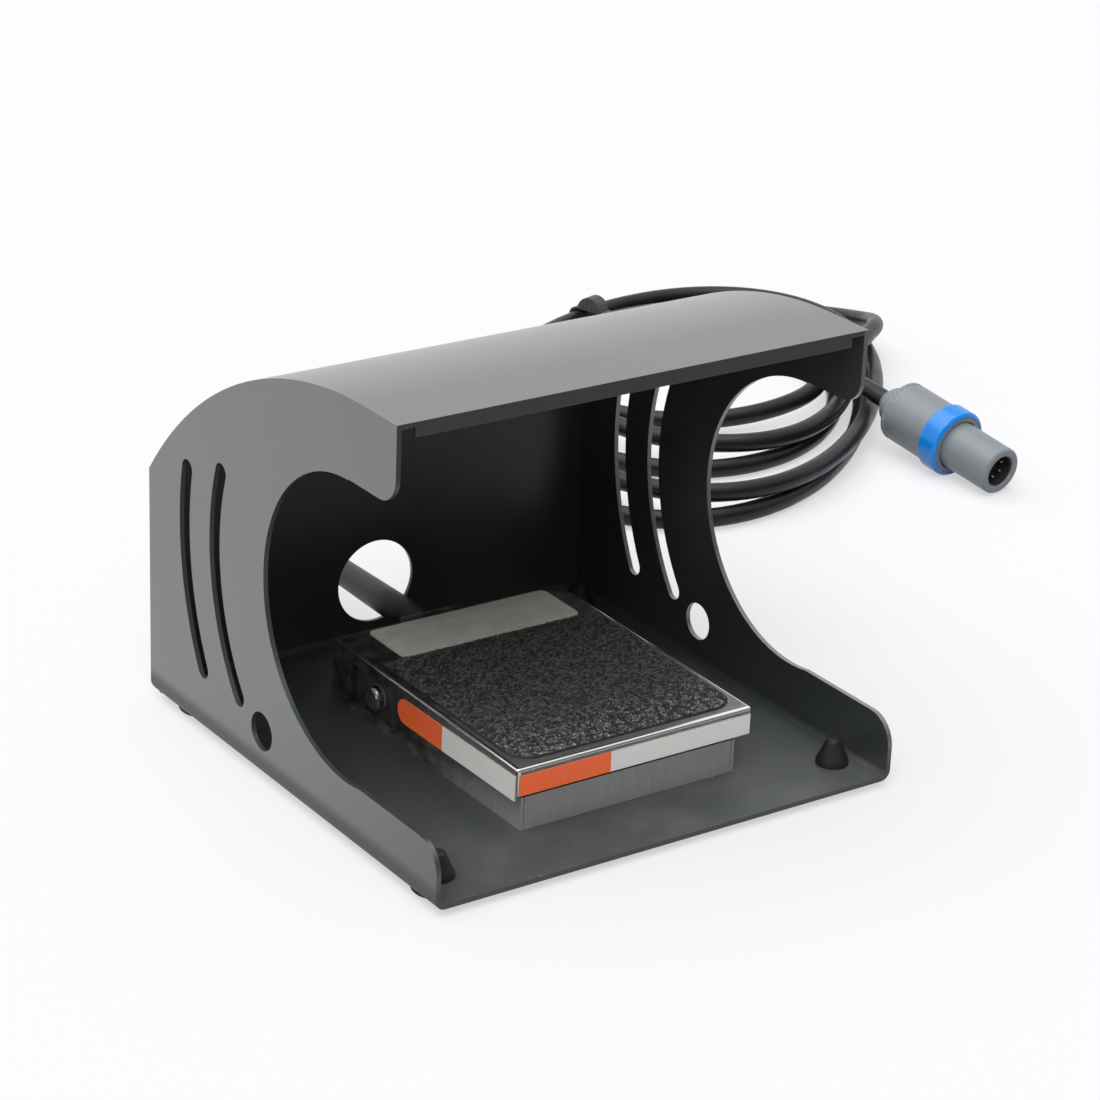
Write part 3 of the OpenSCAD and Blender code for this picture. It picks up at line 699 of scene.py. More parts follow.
@dataclass(frozen=True)
class TwoColourFilm(Finish):
    """Printed film, orange up to a line and off-white past it, with nothing written on it."""

    axis: str = "X"
    split: float = 0.0
    orange_first: bool = True
    orange: Colour = (0.98, 0.16, 0.045)
    white: Colour = (0.80, 0.79, 0.76)
    grime: Colour = (0.22, 0.20, 0.17)

    def shade(self, skin: Skin) -> None:
        """Dresses a material with the two colours, soiling and wear.

        Args:
            skin: the material's tree.
        """
        blur = 0.05 * MM
        side = skin.remap(skin.axis(self.axis), self.split - blur, self.split + blur)
        ends = (self.orange, self.white) if self.orange_first else (self.white, self.orange)
        patches = skin.patches(5.0, 0.2)
        marks = skin.effect(streaks(), Across_X=0.6, Across_Y=0.6, Across_Z=2.5, Depth=0.004)
        soil = skin.times(skin.remap(marks["Value"], 0.55, 0.75), 0.25)
        soil = skin.times(soil, skin.ease(patches, 0.3, 1.0))
        colour = skin.mix(soil, skin.mix(side, *ends), self.grime)
        skin.surface(Base_Color=skin.mix(skin.wear(0.7, 0.9), colour, self.grime),
                     Roughness=skin.ease(patches, 0.30, 0.45), Normal=marks["Normal"])


@dataclass(frozen=True)
class Webbing(Finish):
    """Woven strap with crossed threads."""

    thread: Colour = (0.016, 0.016, 0.018)
    lit: Colour = (0.055, 0.055, 0.058)
    pitch: float = 0.7

    def shade(self, skin: Skin) -> None:
        """Dresses a material with a weave.

        Args:
            skin: the material's tree.
        """
        turn = PER_MM / self.pitch * math.pi
        waves = [skin.math("ABSOLUTE", skin.math("SINE", skin.times(skin.axis(axis), turn)))
                 for axis in ("X", "Y", "Z")]
        weave = skin.times(skin.plus(waves[0], waves[1]), waves[2])
        fuzz = skin.effect(grain(), Scale=4.0, Depth=0.05, Strength=0.6)["Value"]
        height = skin.plus(skin.times(weave, 0.5), fuzz)
        skin.surface(Base_Color=skin.mix(skin.remap(height, 0.5, 1.3), self.thread, self.lit),
                     Roughness=skin.spread(fuzz, 0.75, 0.95), Sheen_Weight=0.3,
                     Normal=skin.bump(height, 0.7, 0.2 * MM))


GUARD_PAINT = PowderCoat("guard_paint", "guard")
FOOT_RUBBER = Rubber("foot_rubber", "black_rubber", colour=(0.012, 0.012, 0.012),
                     scuffed=(0.03, 0.03, 0.03))
BOOT_RUBBER = Rubber("boot_rubber", "boot_rubber", colour=(0.018, 0.019, 0.019), roughness=0.4)
CORD_JACKET = Rubber("cord_jacket", "cord_jacket", colour=(0.007, 0.008, 0.009), ior=1.36,
                     scuffed=(0.020, 0.020, 0.022), roughness=0.33, grain_scale=0.5,
                     grain_depth=0.05)
TREADLE_STEEL = BrushedSteel("treadle_steel", "stainless", brushing=Brushing.ALONG_X)
# the tray too darkens towards the back, with patina and painted shade
TRAY_STEEL = BrushedSteel("tray_steel", "stainless", roughness=0.45, steel=(0.84, 0.83, 0.81),
                          least_grime_and_shade=0.08, metal=0.85)
SCREW_METAL = BrightMetal("screw_metal", "zinc_steel")
SPRING_WIRE = BrightMetal("spring_wire", "spring_steel", metal=(0.5, 0.5, 0.49), roughness=0.3)
BRASS = BrightMetal("contact_brass", "brass", metal=(0.72, 0.52, 0.24), stain=(0.4, 0.28, 0.12))
GOLD = BrightMetal("contact_gold", "gold_pins", metal=(0.90, 0.62, 0.22), stain=(0.75, 0.5, 0.2),
                   roughness=0.15)
NYLON = Moulded("bush_nylon", "nylon", colour=(0.10, 0.095, 0.085), roughness=0.5)
SWITCH_CASE = Moulded("switch_case", "black_plastic", colour=(0.025, 0.025, 0.027),
                      soiled=(0.03, 0.03, 0.03), roughness=0.45)
PLUNGER_RED = Moulded("plunger_red", "red_plastic", colour=(0.45, 0.03, 0.02), roughness=0.3)
PLUG_GREY = Moulded("plug_grey", "plug_grey", colour=(0.185, 0.208, 0.220), roughness=0.40)
PLUG_BLUE = Moulded("plug_blue", "plug_blue", colour=(0.001, 0.205, 0.66),
                    soiled=(0.001, 0.14, 0.46), roughness=0.26, grain_depth=0.006)
PAD_GRIT = Grit("pad_grit", "grit")
PLATE_FOIL = Foil("plate_foil", "plate")
WEBBING = Webbing("tie_webbing", "tie_fabric")


# Meshes


def link(name: str, data: bpy.types.ID) -> bpy.types.Object:
    """Adds an object to the scene.

    Args:
        name: the object's name.
        data: its mesh, curve, lamp or camera.

    Returns:
        The new object.
    """
    made = bpy.data.objects.new(name, data)
    bpy.context.scene.collection.objects.link(made)
    return made


def link_shape(name: str, shape: bmesh.types.BMesh) -> bpy.types.Object:
    """Turns a worked shape into an object, and frees the shape.

    Args:
        name: the object's and its mesh's name.
        shape: the shape.

    Returns:
        The new object.
    """
    mesh = bpy.data.meshes.new(name)
    shape.to_mesh(mesh)
    shape.free()
    return link(name, mesh)


def settle(piece: bpy.types.Object, body: Body, finish: Finish, *replaced: str) -> bpy.types.Object:
    """Finishes a piece and puts it on its body.

    Args:
        piece: the new object, in place in the part's frame.
        body: the body that it rides on.
        finish: its finish.
        *replaced: CAD nodes that it stands for.

    Returns:
        The same object.
    """
    piece.data.materials.clear()
    piece.data.materials.append(finish.material())
    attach(piece, body.value)
    if replaced:
        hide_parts(*replaced)
    log.info("%s rides on %s, finish %s", piece.name, body.value, finish.name)
    return piece


def dress_node(name: str, finish: Finish) -> bpy.types.Object:
    """Gives a CAD node that stays its finish.

    Args:
        name: the node's name.
        finish: its finish.

    Returns:
        The node's object.
    """
    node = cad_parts[name]
    node.data.materials.clear()
    node.data.materials.append(finish.material())
    log.info("%s stays, finish %s", name, finish.name)
    return node


def is_sharp(edge: bmesh.types.BMEdge) -> bool:
    """Tells whether two faces meet sharply at an edge."""
    return len(edge.link_faces) == 2 and edge.calc_face_angle(0.0) > math.radians(SHARP_ANGLE)


@dataclass(frozen=True)
class Softening:
    """One pass of rounding over some edges of a mesh, with its width in millimetres."""

    width: float
    segments: int = 2
    chosen: EdgeTest = is_sharp
    wear: float = 1.0


def no_face(face: bmesh.types.BMFace) -> bool:
    """Tells of any face that it isn't a cut edge."""
    return False


def softened(node: str, name: str, body: Body, finish: Finish, *passes: Softening,
             cut_face: FaceTest = no_face, cut_wear: float = 0.8) -> bpy.types.Object:
    """Puts a rounded copy of a CAD node, with a mask of its worn faces, in the node's place.

    Args:
        node: the CAD node.
        name: the new piece's name.
        body: the body that it rides on.
        finish: its finish.
        *passes: the rounding passes.
        cut_face: tells which faces are cut edges of a sheet.
        cut_wear: how much of the bare colour, through the wear mask, the cut faces take.

    Returns:
        The new object.
    """
    shape = bmesh.new()
    shape.from_mesh(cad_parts[node].data)
    bmesh.ops.remove_doubles(shape, verts=shape.verts, dist=SAME_POINT * MM)
    bmesh.ops.dissolve_limit(shape, angle_limit=math.radians(FLAT_ANGLE), verts=shape.verts,
                             edges=shape.edges)
    worn = shape.faces.layers.float.new("worn")
    for step in passes:
        edges = [edge for edge in shape.edges if step.chosen(edge)]
        made = bmesh.ops.bevel(shape, geom=edges, offset=step.width * MM, offset_type="OFFSET",
                               segments=step.segments, profile=0.5, affect="EDGES",
                               clamp_overlap=True)
        for face in made["faces"]:
            face[worn] = step.wear
    for face in shape.faces:
        if cut_face(face):
            face[worn] = max(face[worn], cut_wear)
        face.smooth = True
    piece = link_shape(name, shape)
    piece.data.set_sharp_from_angle(angle=math.radians(SHADE_ANGLE))
    weighted = piece.modifiers.new("even_shading", "WEIGHTED_NORMAL")
    weighted.weight = 100
    weighted.keep_sharp = True
    return settle(piece, body, finish, node)


def turned(name: str, profile: Sequence[tuple[float, float]], start: Place, axis: Vector,
           sides: int = 64) -> bpy.types.Object:
    """Makes a hollow turned piece from a closed profile.

    Args:
        name: the new piece's name.
        profile: radius and distance along the axis of each corner, in millimetres.
        start: point of the axis at distance 0, in millimetres.
        axis: direction of the axis.
        sides: faces round the piece.

    Returns:
        The new object.
    """
    turn = axis.to_track_quat("Z", "Y").to_matrix()
    shape = bmesh.new()
    rings = []
    for radius, along in profile:
        ring = []
        for i in range(sides):
            angle = 2.0 * math.pi * i / sides
            corner = turn @ Vector((radius * math.cos(angle), radius * math.sin(angle), along))
            ring.append(shape.verts.new((Vector(start) + corner) * MM))
        rings.append(ring)
    for ring, after in zip(rings, rings[1:] + rings[:1]):
        for i in range(sides):
            j = (i + 1) % sides
            shape.faces.new((ring[i], ring[j], after[j], after[i]))
    bmesh.ops.recalc_face_normals(shape, faces=shape.faces)
    for face in shape.faces:
        face.smooth = True
    piece = link_shape(name, shape)
    piece.data.set_sharp_from_angle(angle=math.radians(SHADE_ANGLE))
    return piece


def smoothed(points: Sequence[Vector], steps: int = 6) -> list[Vector]:
    """Runs a smooth curve through points.

    Args:
        points: the points that it passes.
        steps: steps between two of them.

    Returns:
        The curve's points.
    """
    made = []
    last = len(points) - 1
    for index in range(last):
        before, here = points[max(index - 1, 0)], points[index]
        there, after = points[index + 1], points[min(index + 2, last)]
        chord = (there - here).length
        leave = (there - before).normalized() * chord
        arrive = (after - here).normalized() * chord
        for step in range(steps):
            t = step / steps
            a, b = 2 * t**3 - 3 * t**2 + 1, t**3 - 2 * t**2 + t
            c, d = 3 * t**2 - 2 * t**3, t**3 - t**2
            made.append(a * here + b * leave + c * there + d * arrive)
    made.append(points[last].copy())
    return made


def path_length(points: Sequence[Vector]) -> float:
    """Returns the length of a run of points."""
    return sum((b - a).length for a, b in zip(points, points[1:]))


# Studio


@dataclass(frozen=True)
class Lamp:
    """A broad soft light from far away, where a strength of pi lights a white floor to white."""

    name: str
    toward: Place
    degrees: float
    strength: float
    mirrored: bool = True

    def hang(self) -> None:
        """Adds the lamp to the scene."""
        data = bpy.data.lights.new(self.name, "SUN")
        data.angle = math.radians(self.degrees)
        data.energy = self.strength
        lamp = link(self.name, data)
        lamp.rotation_mode = "QUATERNION"
        lamp.rotation_quaternion = Vector(self.toward).to_track_quat("Z", "Y")
        lamp.visible_glossy = self.mirrored


@dataclass
class Studio:
    """Pale floor, soft lamps, white surroundings and the camera.

    Distances in metres, angles in degrees, lens and sensor in mm.
    """

    aim: Place = (-0.01275, -0.03331, 0.07796)
    azimuth: float = -35.2315
    elevation: float = 22.9844
    roll: float = 2.3368
    distance: float = 0.9834
    lens: float = 112.916
    sensor: float = 36.0
    nearest: float = 0.05
    farthest: float = 20.0
    lamps: tuple[Lamp, ...] = (
        Lamp("lamp_above", (-0.25, 0.12, 1.0), 70.0, 2.3),
        Lamp("lamp_front", (-0.6, -0.75, 1.0), 35.0, 1.7, mirrored=False),
    )
    floor_size: float = 8.0
    floor_seen: Colour = (0.31, 0.31, 0.31)
    floor_bounce: Colour = (0.36, 0.36, 0.37)
    floor_glow: float = 0.58
    glow_tint: Colour = (0.97, 0.97, 1.0)
    sky_tint: Colour = (0.965, 0.965, 0.99)
    ambient: float = 0.26
    dark_front: float = 0.12

    def camera_axes(self) -> tuple[Vector, Vector, Vector]:
        """Works out how the camera stands.

        Returns:
            Its right, up and back directions.
        """
        az, el, roll = (math.radians(a) for a in (self.azimuth, self.elevation, self.roll))
        back = Vector((math.sin(az) * math.cos(el), -math.cos(az) * math.cos(el), math.sin(el)))
        level = Vector((math.cos(az), math.sin(az), 0.0))
        upright = back.cross(level)
        right = math.cos(roll) * level + math.sin(roll) * upright
        return right, back.cross(right), back

    def set_camera(self) -> None:
        """Puts the camera where the photograph was taken."""
        right, up, back = self.camera_axes()
        data = bpy.data.cameras.new("camera")
        data.lens = self.lens
        data.sensor_width = self.sensor
        data.clip_start = self.nearest
        data.clip_end = self.farthest
        camera = link("camera", data)
        place = Matrix((right, up, back)).transposed().to_4x4()
        place.translation = Vector(self.aim) + self.distance * back
        camera.matrix_world = place
        bpy.context.scene.camera = camera

    def set_surroundings(self) -> None:
        """Shows white to the camera, white with a dark front in reflections, and grey light."""
        world = bpy.data.worlds.new("studio")
        bpy.context.scene.world = world
        world.use_nodes = True
        tree = ShaderTree(world.node_tree)
        seen = tree.node("ShaderNodeLightPath").outputs
        direction = tree.node("ShaderNodeSeparateXYZ")
        tree.put(direction.inputs[0], tree.node("ShaderNodeTexCoord").outputs["Generated"])
        front = tree.remap(direction.outputs["Y"], -0.65, -0.1, 1.0, 0.0)
        low = tree.remap(direction.outputs["Z"], 0.45, 0.8, 1.0, 0.0)
        shade = tree.times(tree.times(front, low), 1.0 - self.dark_front)
        mirrored = tree.times(seen["Is Glossy Ray"], tree.minus(1.0, shade))
        direct = tree.most(seen["Is Camera Ray"], seen["Is Transmission Ray"])
        grey = tree.times(seen["Is Diffuse Ray"], self.ambient)
        background = world.node_tree.nodes["Background"]
        tree.put(background.inputs["Color"], (*self.sky_tint, 1.0))
        tree.put(background.inputs["Strength"], tree.most(tree.most(mirrored, direct), grey))

    def lay_floor(self) -> None:
        """Lays the pale floor, which keeps the object's shadow and shows white."""
        half = self.floor_size / 2
        mesh = bpy.data.meshes.new("floor")
        corners = [(-half, -half, 0.0), (half, -half, 0.0), (half, half, 0.0), (-half, half, 0.0)]
        mesh.from_pydata(corners, [], [(0, 1, 2, 3)])
        floor = link("floor", mesh)
        material = bpy.data.materials.new("floor_white")
        skin = Skin(material)
        seen = skin.node("ShaderNodeLightPath").outputs
        near = skin.remap(skin.axis("Y"), -0.30, 0.09, self.dark_front, 1.0)
        shown = skin.most(seen["Is Camera Ray"], skin.times(seen["Is Glossy Ray"], near))
        shown = skin.most(shown, seen["Is Transmission Ray"])
        bounced = skin.mix(seen["Is Glossy Ray"], self.floor_bounce, (0.0, 0.0, 0.0))
        skin.surface(Base_Color=skin.mix(shown, bounced, self.floor_seen), Roughness=0.9,
                     Emission_Color=(*self.glow_tint, 1.0), Specular_IOR_Level=0.0,
                     Emission_Strength=skin.times(shown, self.floor_glow))
        mesh.materials.append(material)

    def build(self) -> None:
        """Sets up the whole studio."""
        self.set_camera()
        for lamp in self.lamps:
            lamp.hang()
        self.set_surroundings()
        self.lay_floor()
        bpy.context.scene.view_settings.view_transform = "Standard"
        log.info("studio ready")


# Cord


@dataclass
class ControlCord:
    """The cord from the boot, through its coil, to the plug, with its boot and tie.

    Sizes in mm, and length in m. The coil is an egg-shaped spiral inwards, with long and short
    reaches that shrink by a step each turn, and as many turns outwards again on top.
    """

    diameter: float = 6.8
    length: float = 2.80
    tie_sheet: float = 0.5
    play: float = 0.1
    centre: tuple[float, float] = (210.0, 183.5)
    long_reach: float = 130.0
    long_step: float = 35.0
    short_reach: float = 74.0
    short_step: float = 10.5
    shift: tuple[float, float] = (14.5, 0.5)
    egg: float = 9.0
    heading: float = 44.0
    start: float = -44.0
    layer_turns: float = 2.7
    turn_back: float = 0.0036
    climb_before: float = 90.0
    climb_over: float = 180.0
    first: float = 70.0
    layer_gap: float = 0.5
    steps_a_turn: int = 96
    plug_nose: Place = (263.4, 78.7, 9.25)
    plug_heading: float = 95.2
    plug_slope: float = 8.5
    plug_length: float = 60.0

    LEAD: ClassVar[tuple[Place, ...]] = (
        (0, 105, 18), (0, 112, 18), (0, 119, 17.3), (-1, 127, 15), (-2, 135, 11.6), (-2, 144, 8),
        (0, 153, 5.2), (5, 161, 3.8), (12, 168, 3.5), (21, 173, 3.5), (34, 175, 3.5),
        (48, 175, 3.5), (63, 176, 3.6), (78, 179, 4.3), (92, 185, 6), (104, 193, 8.3),
        (115, 203, 10.3))
    TAIL: ClassVar[tuple[Place, ...]] = (
        (258, 158, 20), (262, 167, 19.6), (269, 176, 19.4), (278, 184, 19.2), (288, 191, 19),
        (298, 198, 18.8), (308, 206, 18), (315, 216, 15.4), (319, 228, 12), (321, 241, 8.8),
        (320, 254, 6.2), (316, 266, 4.8), (309, 276, 4.2), (300, 282, 4.1))

    def coil_point(self, t: float) -> Vector:
        """Works out a point of the coil.

        Args:
            t: degrees along its winding.

        Returns:
            The point.
        """
        along = t / 360.0
        wound = self.layer_turns - math.sqrt((along - self.layer_turns) ** 2 + self.turn_back)
        past = t - 360.0 * self.layer_turns + self.climb_before
        climb = min(1.0, max(0.0, past / self.climb_over))
        lift = climb * climb * (3.0 - 2.0 * climb)
        a = math.radians(self.start + t)
        u = ((self.long_reach - self.long_step * wound) * math.cos(a)
             + self.egg * math.sin(2.0 * a) + self.shift[0] * wound)
        v = ((self.short_reach - self.short_step * wound) * math.sin(a)
             - self.egg * math.cos(2.0 * a) + self.shift[1] * wound)
        turn = math.radians(self.heading)
        x = self.centre[0] + u * math.cos(turn) - v * math.sin(turn)
        y = self.centre[1] + u * math.sin(turn) + v * math.cos(turn)
        z = self.diameter / 2 + self.tie_sheet + self.play + lift * (self.diameter + self.layer_gap)
        return Vector((x, y, z))

    def plug_axis(self) -> Vector:
        """Works out how the plug lies.

        Returns:
            The direction from its nose to the cord.
        """
        heading, slope = math.radians(self.plug_heading), math.radians(self.plug_slope)
        return Vector((math.cos(slope) * math.cos(heading), math.cos(slope) * math.sin(heading),
                       math.sin(slope)))

    def route(self) -> list[Vector]:
        """Runs the cord's centreline from the boot to the plug.

        Returns:
            Its points, in millimetres.
        """
        last = 720.0 * self.layer_turns
        count = math.ceil((last - self.first) / 360.0 * self.steps_a_turn)
        coil = [self.coil_point(self.first + (last - self.first) * i / count)
                for i in range(count + 1)]
        inward = (coil[0] - coil[1]).normalized() * self.diameter
        outward = (coil[-1] - coil[-2]).normalized() * self.diameter
        axis = self.plug_axis()
        rear = Vector(self.plug_nose) + axis * self.plug_length
        lead = [Vector(p) for p in self.LEAD]
        lead += [coil[-1] + 2 * outward, coil[-1] + outward, coil[-1]]
        tail = [rear, rear + axis * self.diameter] + [Vector(p) for p in self.TAIL]
        tail += [coil[0] + 2 * inward, coil[0] + inward, coil[0]]
        return smoothed(lead)[:-1] + coil[::-1] + smoothed(tail)[:-1][::-1]

    def build_cord(self) -> bpy.types.Object:
        """Makes the cord as one curve.

        Returns:
            The cord.
        """
        points = [p * MM for p in self.route()]
        data = bpy.data.curves.new("control_cord", "CURVE")
        data.dimensions = "3D"
        spline = data.splines.new("POLY")
        spline.points.add(len(points) - 1)
        for target, point in zip(spline.points, points):
            target.co = (*point, 1.0)
        spline.use_smooth = True
        data.bevel_depth = self.diameter / 2 * MM
        data.bevel_resolution = 8
        data.use_fill_caps = True
        cord = link("control_cord", data)
        settle(cord, Body.GUARD, CORD_JACKET, "cord_lead", "cord_coil", "cord_tail")
        log.info("cord length %.3f m", path_length(points))
        return cord

    def build(self) -> bpy.types.Object:
        """Makes the cord and dresses its boot and tie.

        Returns:
            The cord.
        """
        cord = self.build_cord()
        dress_node("strain_relief", BOOT_RUBBER)
        dress_node("cord_tie", WEBBING)
        return cord


# Guard


@dataclass
class Guard:
    """The folded guard with its feet and the screws that hold the tray.

    Sizes in mm, and leans as parts of a face's direction. What is meant by roof, top, back and
    wall starts at a height, or at a distance from the guard's back.
    """

    width: float = 160.0
    depth: float = 163.0
    sheet: float = 1.5
    foot_h: float = 2.5
    bend: float = 3.2
    corner_round: float = 1.0
    edge_round: float = 0.25
    foot_round: float = 0.2
    roof_z: float = 120.0
    roof_y: float = 110.0
    top_z: float = 100.0
    back_y: float = 45.0
    wall_y: float = 10.0
    up_lean: float = 0.2
    back_lean: float = 0.9
    cut_lean: float = 0.3

    def is_weld(self, edge: bmesh.types.BMEdge) -> bool:
        """Tells whether an edge lies where a side plate meets the hood."""
        inner = (self.width / 2 - self.sheet) * MM
        return all(abs(abs(v.co.x) - inner) < IN_PLANE * MM for v in edge.verts)

    def is_outer_corner(self, edge: bmesh.types.BMEdge) -> bool:
        """Tells whether an edge is the outer edge of the roof or the back wall.

        Args:
            edge: the edge.

        Returns:
            Whether it is.
        """
        outer = self.width / 2 * MM
        low = (self.foot_h + self.bend + 1.0) * MM
        on_side = all(abs(abs(v.co.x) - outer) < IN_PLANE * MM for v in edge.verts)
        middle = (edge.verts[0].co + edge.verts[1].co) / 2
        roof = any(face.normal.z > self.up_lean or face.normal.y > self.back_lean
                   for face in edge.link_faces)
        behind = middle.z > self.roof_z * MM or middle.y > (self.depth / 2 - self.roof_y) * MM
        return on_side and roof and middle.z > low and behind and is_sharp(edge)

    def is_free_edge(self, edge: bmesh.types.BMEdge) -> bool:
        """Tells whether an edge is sharp and not welded."""
        return is_sharp(edge) and not self.is_weld(edge)

    def is_pale_cut(self, face: bmesh.types.BMFace) -> bool:
        """Tells whether a face is a cut edge of the right side plate, which takes the pale bare
        colour.

        Args:
            face: the face.

        Returns:
            Whether it is.
        """
        middle, facing, lean = face.calc_center_median(), face.normal, self.cut_lean
        # only the right plate's cut faces are made paler brown-grey; the left plate's stay in the
        # dark paint
        right_plate = middle.x > (self.width / 2 - self.sheet) * MM and abs(facing.x) < lean
        above_bend = middle.z > (self.foot_h + self.bend) * MM
        top = middle.z > self.top_z * MM and facing.z > self.up_lean
        back = middle.y > (self.depth / 2 - self.back_y) * MM
        behind = back and (facing.y > lean or facing.z > lean)
        slot = middle.y < (self.depth / 2 - self.wall_y) * MM and facing.y < -lean
        return right_plate and above_bend and not top and (not behind or slot)

    def build(self) -> None:
        """Makes the guard's pieces."""
        corner = Softening(self.corner_round, 4, self.is_outer_corner, 0.0)
        free = Softening(self.edge_round, 2, self.is_free_edge, 0.35)
        softened("guard_base", "guard_sides", Body.GUARD, GUARD_PAINT, corner, free,
                 cut_face=self.is_pale_cut)
        softened("guard_hood", "guard_roof", Body.GUARD, GUARD_PAINT, free)
        softened("rubber_feet", "guard_feet", Body.GUARD, FOOT_RUBBER, Softening(self.foot_round))
        dress_node("tray_screws", SCREW_METAL)
        dress_node("tray_nuts", SCREW_METAL)


# Treadle switch


@dataclass(frozen=True)
class GritLayer:
    """One layer of the pad's relief: its frequency per mm, its seed and how sharp it folds."""

    frequency: float
    seed: float
    sharpness: float = 0.0

    def value(self, x: float, y: float, bend_x: float = 0.0, bend_y: float = 0.0) -> float:
        """Reads the layer.

        Args:
            x: place across the pad, in millimetres.
            y: place along the pad, in millimetres.
            bend_x: how far the layer is bent across.
            bend_y: how far the layer is bent along.

        Returns:
            The layer's noise, or its folds from 0 to 1 where it has a sharpness.
        """
        place = (x * self.frequency + bend_x, y * self.frequency + bend_y, self.seed)
        plain = noise.noise(Vector(place))
        return max(1.0 - self.sharpness * abs(plain), 0.0) if self.sharpness else plain


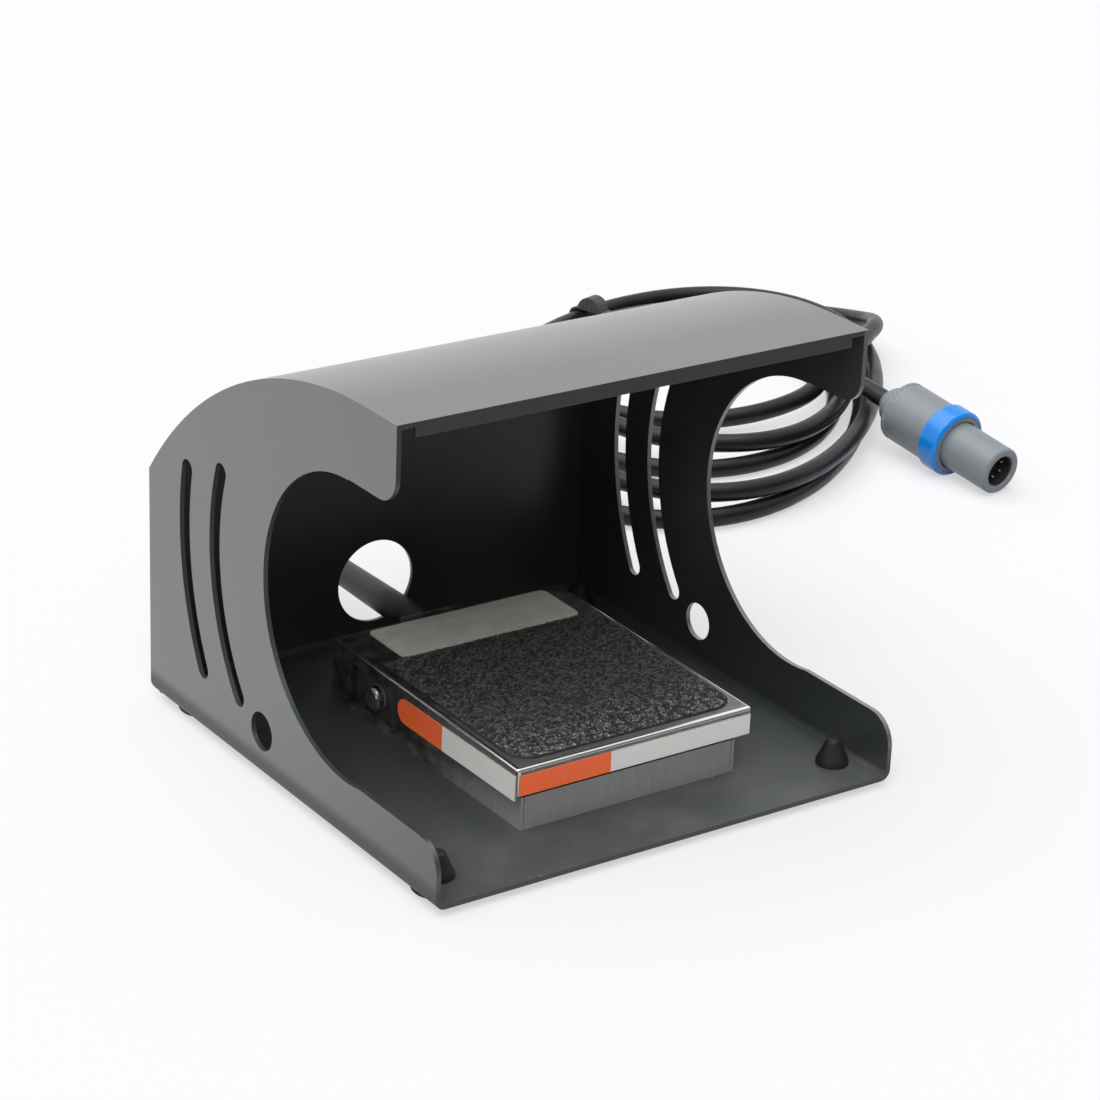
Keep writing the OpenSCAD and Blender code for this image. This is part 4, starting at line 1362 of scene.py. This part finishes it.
@dataclass
class TreadleSwitch:
    """The tray, the treadle and what is on it. Sizes in mm in the guard's own y and z."""

    front_y: float = 22.65
    pivot_y: float = 100.05
    most_tilt: float = 2.6
    top_z: float = 23.0
    width: float = 83.0
    bend_round: float = 1.8
    edge_round: float = 0.2
    foil_round: float = 0.12
    film_round: float = 0.08
    on_bend: float = 0.05
    slope: float = 0.7
    middle_x: float = 2.8
    pad_w: float = 78.0
    pad_y0: float = 3.4
    pad_y1: float = 77.2
    pad_corner: float = 8.0
    pad_rim: float = 0.3
    pad_low: float = 0.2
    grit_h: float = 0.9
    grit_pitch: float = 0.36
    bends: GritLayer = GritLayer(0.5, 4.4)
    folds: GritLayer = GritLayer(0.62, 1.7, 3.0)
    ridges: GritLayer = GritLayer(1.15, 9.1, 2.8)
    chips: GritLayer = GritLayer(2.0, 7.3)
    side_split: float = 38.9
    front_split: float = -9.3
    guard_depth: float = 163.0
    foot_h: float = 2.5

    def on_treadle(self) -> Matrix:
        """Works out where the treadle's top sheet lies.

        Returns:
            The place of its front middle, in metres.
        """
        place = Vector((0.0, self.front_y - self.guard_depth / 2, self.top_z + self.foot_h)) * MM
        tilt = Matrix.Rotation(math.radians(self.slope), 4, "X")
        return Matrix.Translation(place) @ tilt @ Matrix.Translation((self.middle_x * MM, 0.0, 0.0))

    def is_bend(self, edge: bmesh.types.BMEdge) -> bool:
        """Tells whether an edge of the treadle is one of its folded outer edges.

        Args:
            edge: the edge.

        Returns:
            Whether it is.
        """
        back = self.on_treadle().inverted()
        ends = [back @ vert.co / MM for vert in edge.verts]
        at_top = all(abs(end.z) < self.on_bend for end in ends)
        at_front = all(abs(end.y) < self.on_bend for end in ends)
        at_side = all(abs(abs(end.x) - self.width / 2) < self.on_bend for end in ends)
        return is_sharp(edge) and at_side + at_top + at_front >= 2

    def pad_half(self, y: float) -> float:
        """Returns half the pad's width at a distance from the treadle's front."""
        short = max(0.0, self.pad_corner - (y - self.pad_y0))
        return self.pad_w / 2 - self.pad_corner + math.sqrt(self.pad_corner**2 - short**2)

    def grit_height(self, x: float, y: float) -> float:
        """Works out the height of the grit.

        Args:
            x: place across the pad, in millimetres.
            y: place along the pad, in millimetres.

        Returns:
            The height, from 0 to 1.
        """
        bend = 0.8 * self.bends.value(x, y)
        high = 0.5 * self.folds.value(x, y, bend) + 0.42 * self.ridges.value(x, y, 0.0, bend)
        return min(1.0, max(0.0, high + 0.25 * self.chips.value(x, y)))

    def build_pad(self) -> None:
        """Makes the grit pad as a dense rough skin."""
        columns = round(self.pad_w / self.grit_pitch)
        rows = round((self.pad_y1 - self.pad_y0) / self.grit_pitch)
        shape = bmesh.new()
        height = shape.verts.layers.float.new("height")
        grid = []
        for j in range(rows + 1):
            y = self.pad_y0 + (self.pad_y1 - self.pad_y0) * j / rows
            half = self.pad_half(y)
            line = []
            for i in range(columns + 1):
                x = half * (2.0 * i / columns - 1.0)
                up = self.grit_height(x, y)
                rim = i in (0, columns) or j in (0, rows)
                z = self.pad_rim if rim else self.pad_low + self.grit_h * up
                vert = shape.verts.new((x * MM, y * MM, z * MM))
                vert[height] = 0.0 if rim else up
                line.append(vert)
            grid.append(line)
        for low, high in zip(grid, grid[1:]):
            for i in range(columns):
                shape.faces.new((low[i], low[i + 1], high[i + 1], high[i]))
        rim = grid[0] + [line[-1] for line in grid[1:]] + grid[-1][-2::-1]
        rim += [line[0] for line in grid[-2:0:-1]]
        foot = [shape.verts.new((v.co.x, v.co.y, 0.0)) for v in rim]
        for i, vert in enumerate(rim):
            after = (i + 1) % len(rim)
            shape.faces.new((foot[i], foot[after], rim[after], vert))
        shape.faces.new(foot[::-1])
        bmesh.ops.transform(shape, matrix=self.on_treadle(), verts=shape.verts)
        settle(link_shape("grit_pad", shape), Body.TREADLE, PAD_GRIT, "tread_pad")

    def build_spring(self) -> None:
        """Makes the return spring."""
        wire = softened("return_spring", "coil_spring", Body.GUARD, SPRING_WIRE)
        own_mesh(wire)

    def build(self) -> None:
        """Makes the treadle switch's pieces over the switch itself, with its spring."""
        edges = Softening(self.edge_round)
        bends = Softening(self.bend_round, 4, self.is_bend)
        rubbed = Softening(self.edge_round, wear=0.5)
        film_edges = Softening(self.film_round, 1)
        softened("switch_tray", "folded_tray", Body.GUARD, TRAY_STEEL, edges)
        softened("treadle", "folded_treadle", Body.TREADLE, TREADLE_STEEL, bends, rubbed)
        self.build_pad()
        softened("name_plate", "bare_plate", Body.TREADLE, PLATE_FOIL, Softening(self.foil_round))
        front = (self.front_y - self.guard_depth / 2) * MM
        side_film = TwoColourFilm("side_film", "strip_film", axis="Y",
                                  split=front + self.side_split * MM, orange_first=False)
        front_film = TwoColourFilm("front_film", "strip_film",
                                   split=(self.middle_x + self.front_split) * MM)
        softened("side_strip", "side_film", Body.TREADLE, side_film, film_edges)
        softened("front_strip", "front_film", Body.TREADLE, front_film, film_edges)
        dress_node("pivot_screws", SCREW_METAL)
        dress_node("pivot_bushes", NYLON)
        dress_node("pivot_nuts", SCREW_METAL)
        self.build_spring()


# Switch works


@dataclass
class SwitchWorks:
    """The snap-action switch, its fasteners and its wires, which stay as the CAD nodes are."""

    plated: tuple[str, ...] = ("switch_bracket", "switch_screws", "switch_nuts", "push_stud",
                               "stud_nut", "clip_screw")

    def build(self) -> None:
        """Dresses the pieces inside the tray."""
        dress_node("spring_seat", NYLON)
        dress_node("switch_body", SWITCH_CASE)
        dress_node("switch_plunger", PLUNGER_RED)
        dress_node("switch_terminals", BRASS)
        for name in self.plated:
            dress_node(name, SCREW_METAL)
        dress_node("inner_cord", CORD_JACKET)
        dress_node("switch_wires", PLUNGER_RED)
        dress_node("cable_clip", SWITCH_CASE)


# Plug


@dataclass
class Plug:
    """The round push-pull plug on the cord's end. Sizes in mm."""

    nose: Place
    axis: Vector
    bore_r: float = 6.0
    shade_liner_play: float = 0.02
    shade_liner_wall: float = 0.35
    shade_liner_start: float = 0.7
    shade_liner_lip: float = 0.2
    shade_liner_end: float = 6.4

    def build_shade_liner(self) -> bpy.types.Object:
        """Makes a dark liner in the nose's bore, painted shade that darkens the wall of the bore.

        Returns:
            The liner.
        """
        outer = self.bore_r - self.shade_liner_play
        inner = self.bore_r - self.shade_liner_wall
        profile = [(outer, self.shade_liner_start), (outer, self.shade_liner_end), (inner, self.shade_liner_end),
                   (inner, self.shade_liner_start + self.shade_liner_lip)]
        # painted shade: a black sleeve inside the bore stands for the shade deep in the nose
        liner = turned("bore_shade_liner", profile, self.nose, self.axis)
        return settle(liner, Body.GUARD, SWITCH_CASE)

    def build(self) -> list[bpy.types.Object]:
        """Makes the plug's pieces.

        Returns:
            The pieces.
        """
        made = [self.build_shade_liner()]
        for node, name, body, finish, width in (
            ("plug_back_nut", "cord_grip_nut", Body.GUARD, PLUG_GREY, 0.2),
            ("plug_body", "plug_core", Body.GUARD, PLUG_GREY, 0.25),
            ("plug_sleeve", "latch_shell", Body.LATCH, PLUG_GREY, 0.25),
            ("plug_ring", "coloured_ring", Body.LATCH, PLUG_BLUE, 0.3),
        ):
            made.append(softened(node, name, body, finish, Softening(width)))
        made.append(dress_node("plug_insert", SWITCH_CASE))
        made.append(dress_node("plug_pins", GOLD))
        return made


def main() -> None:
    logging.basicConfig(level=logging.INFO, format="%(name)s: %(message)s")
    Studio().build()
    cord_maker = ControlCord()
    cord = cord_maker.build()
    Guard().build()
    TreadleSwitch().build()
    SwitchWorks().build()
    plug = Plug(cord_maker.plug_nose, cord_maker.plug_axis()).build()


if __name__ == "__main__":
    main()
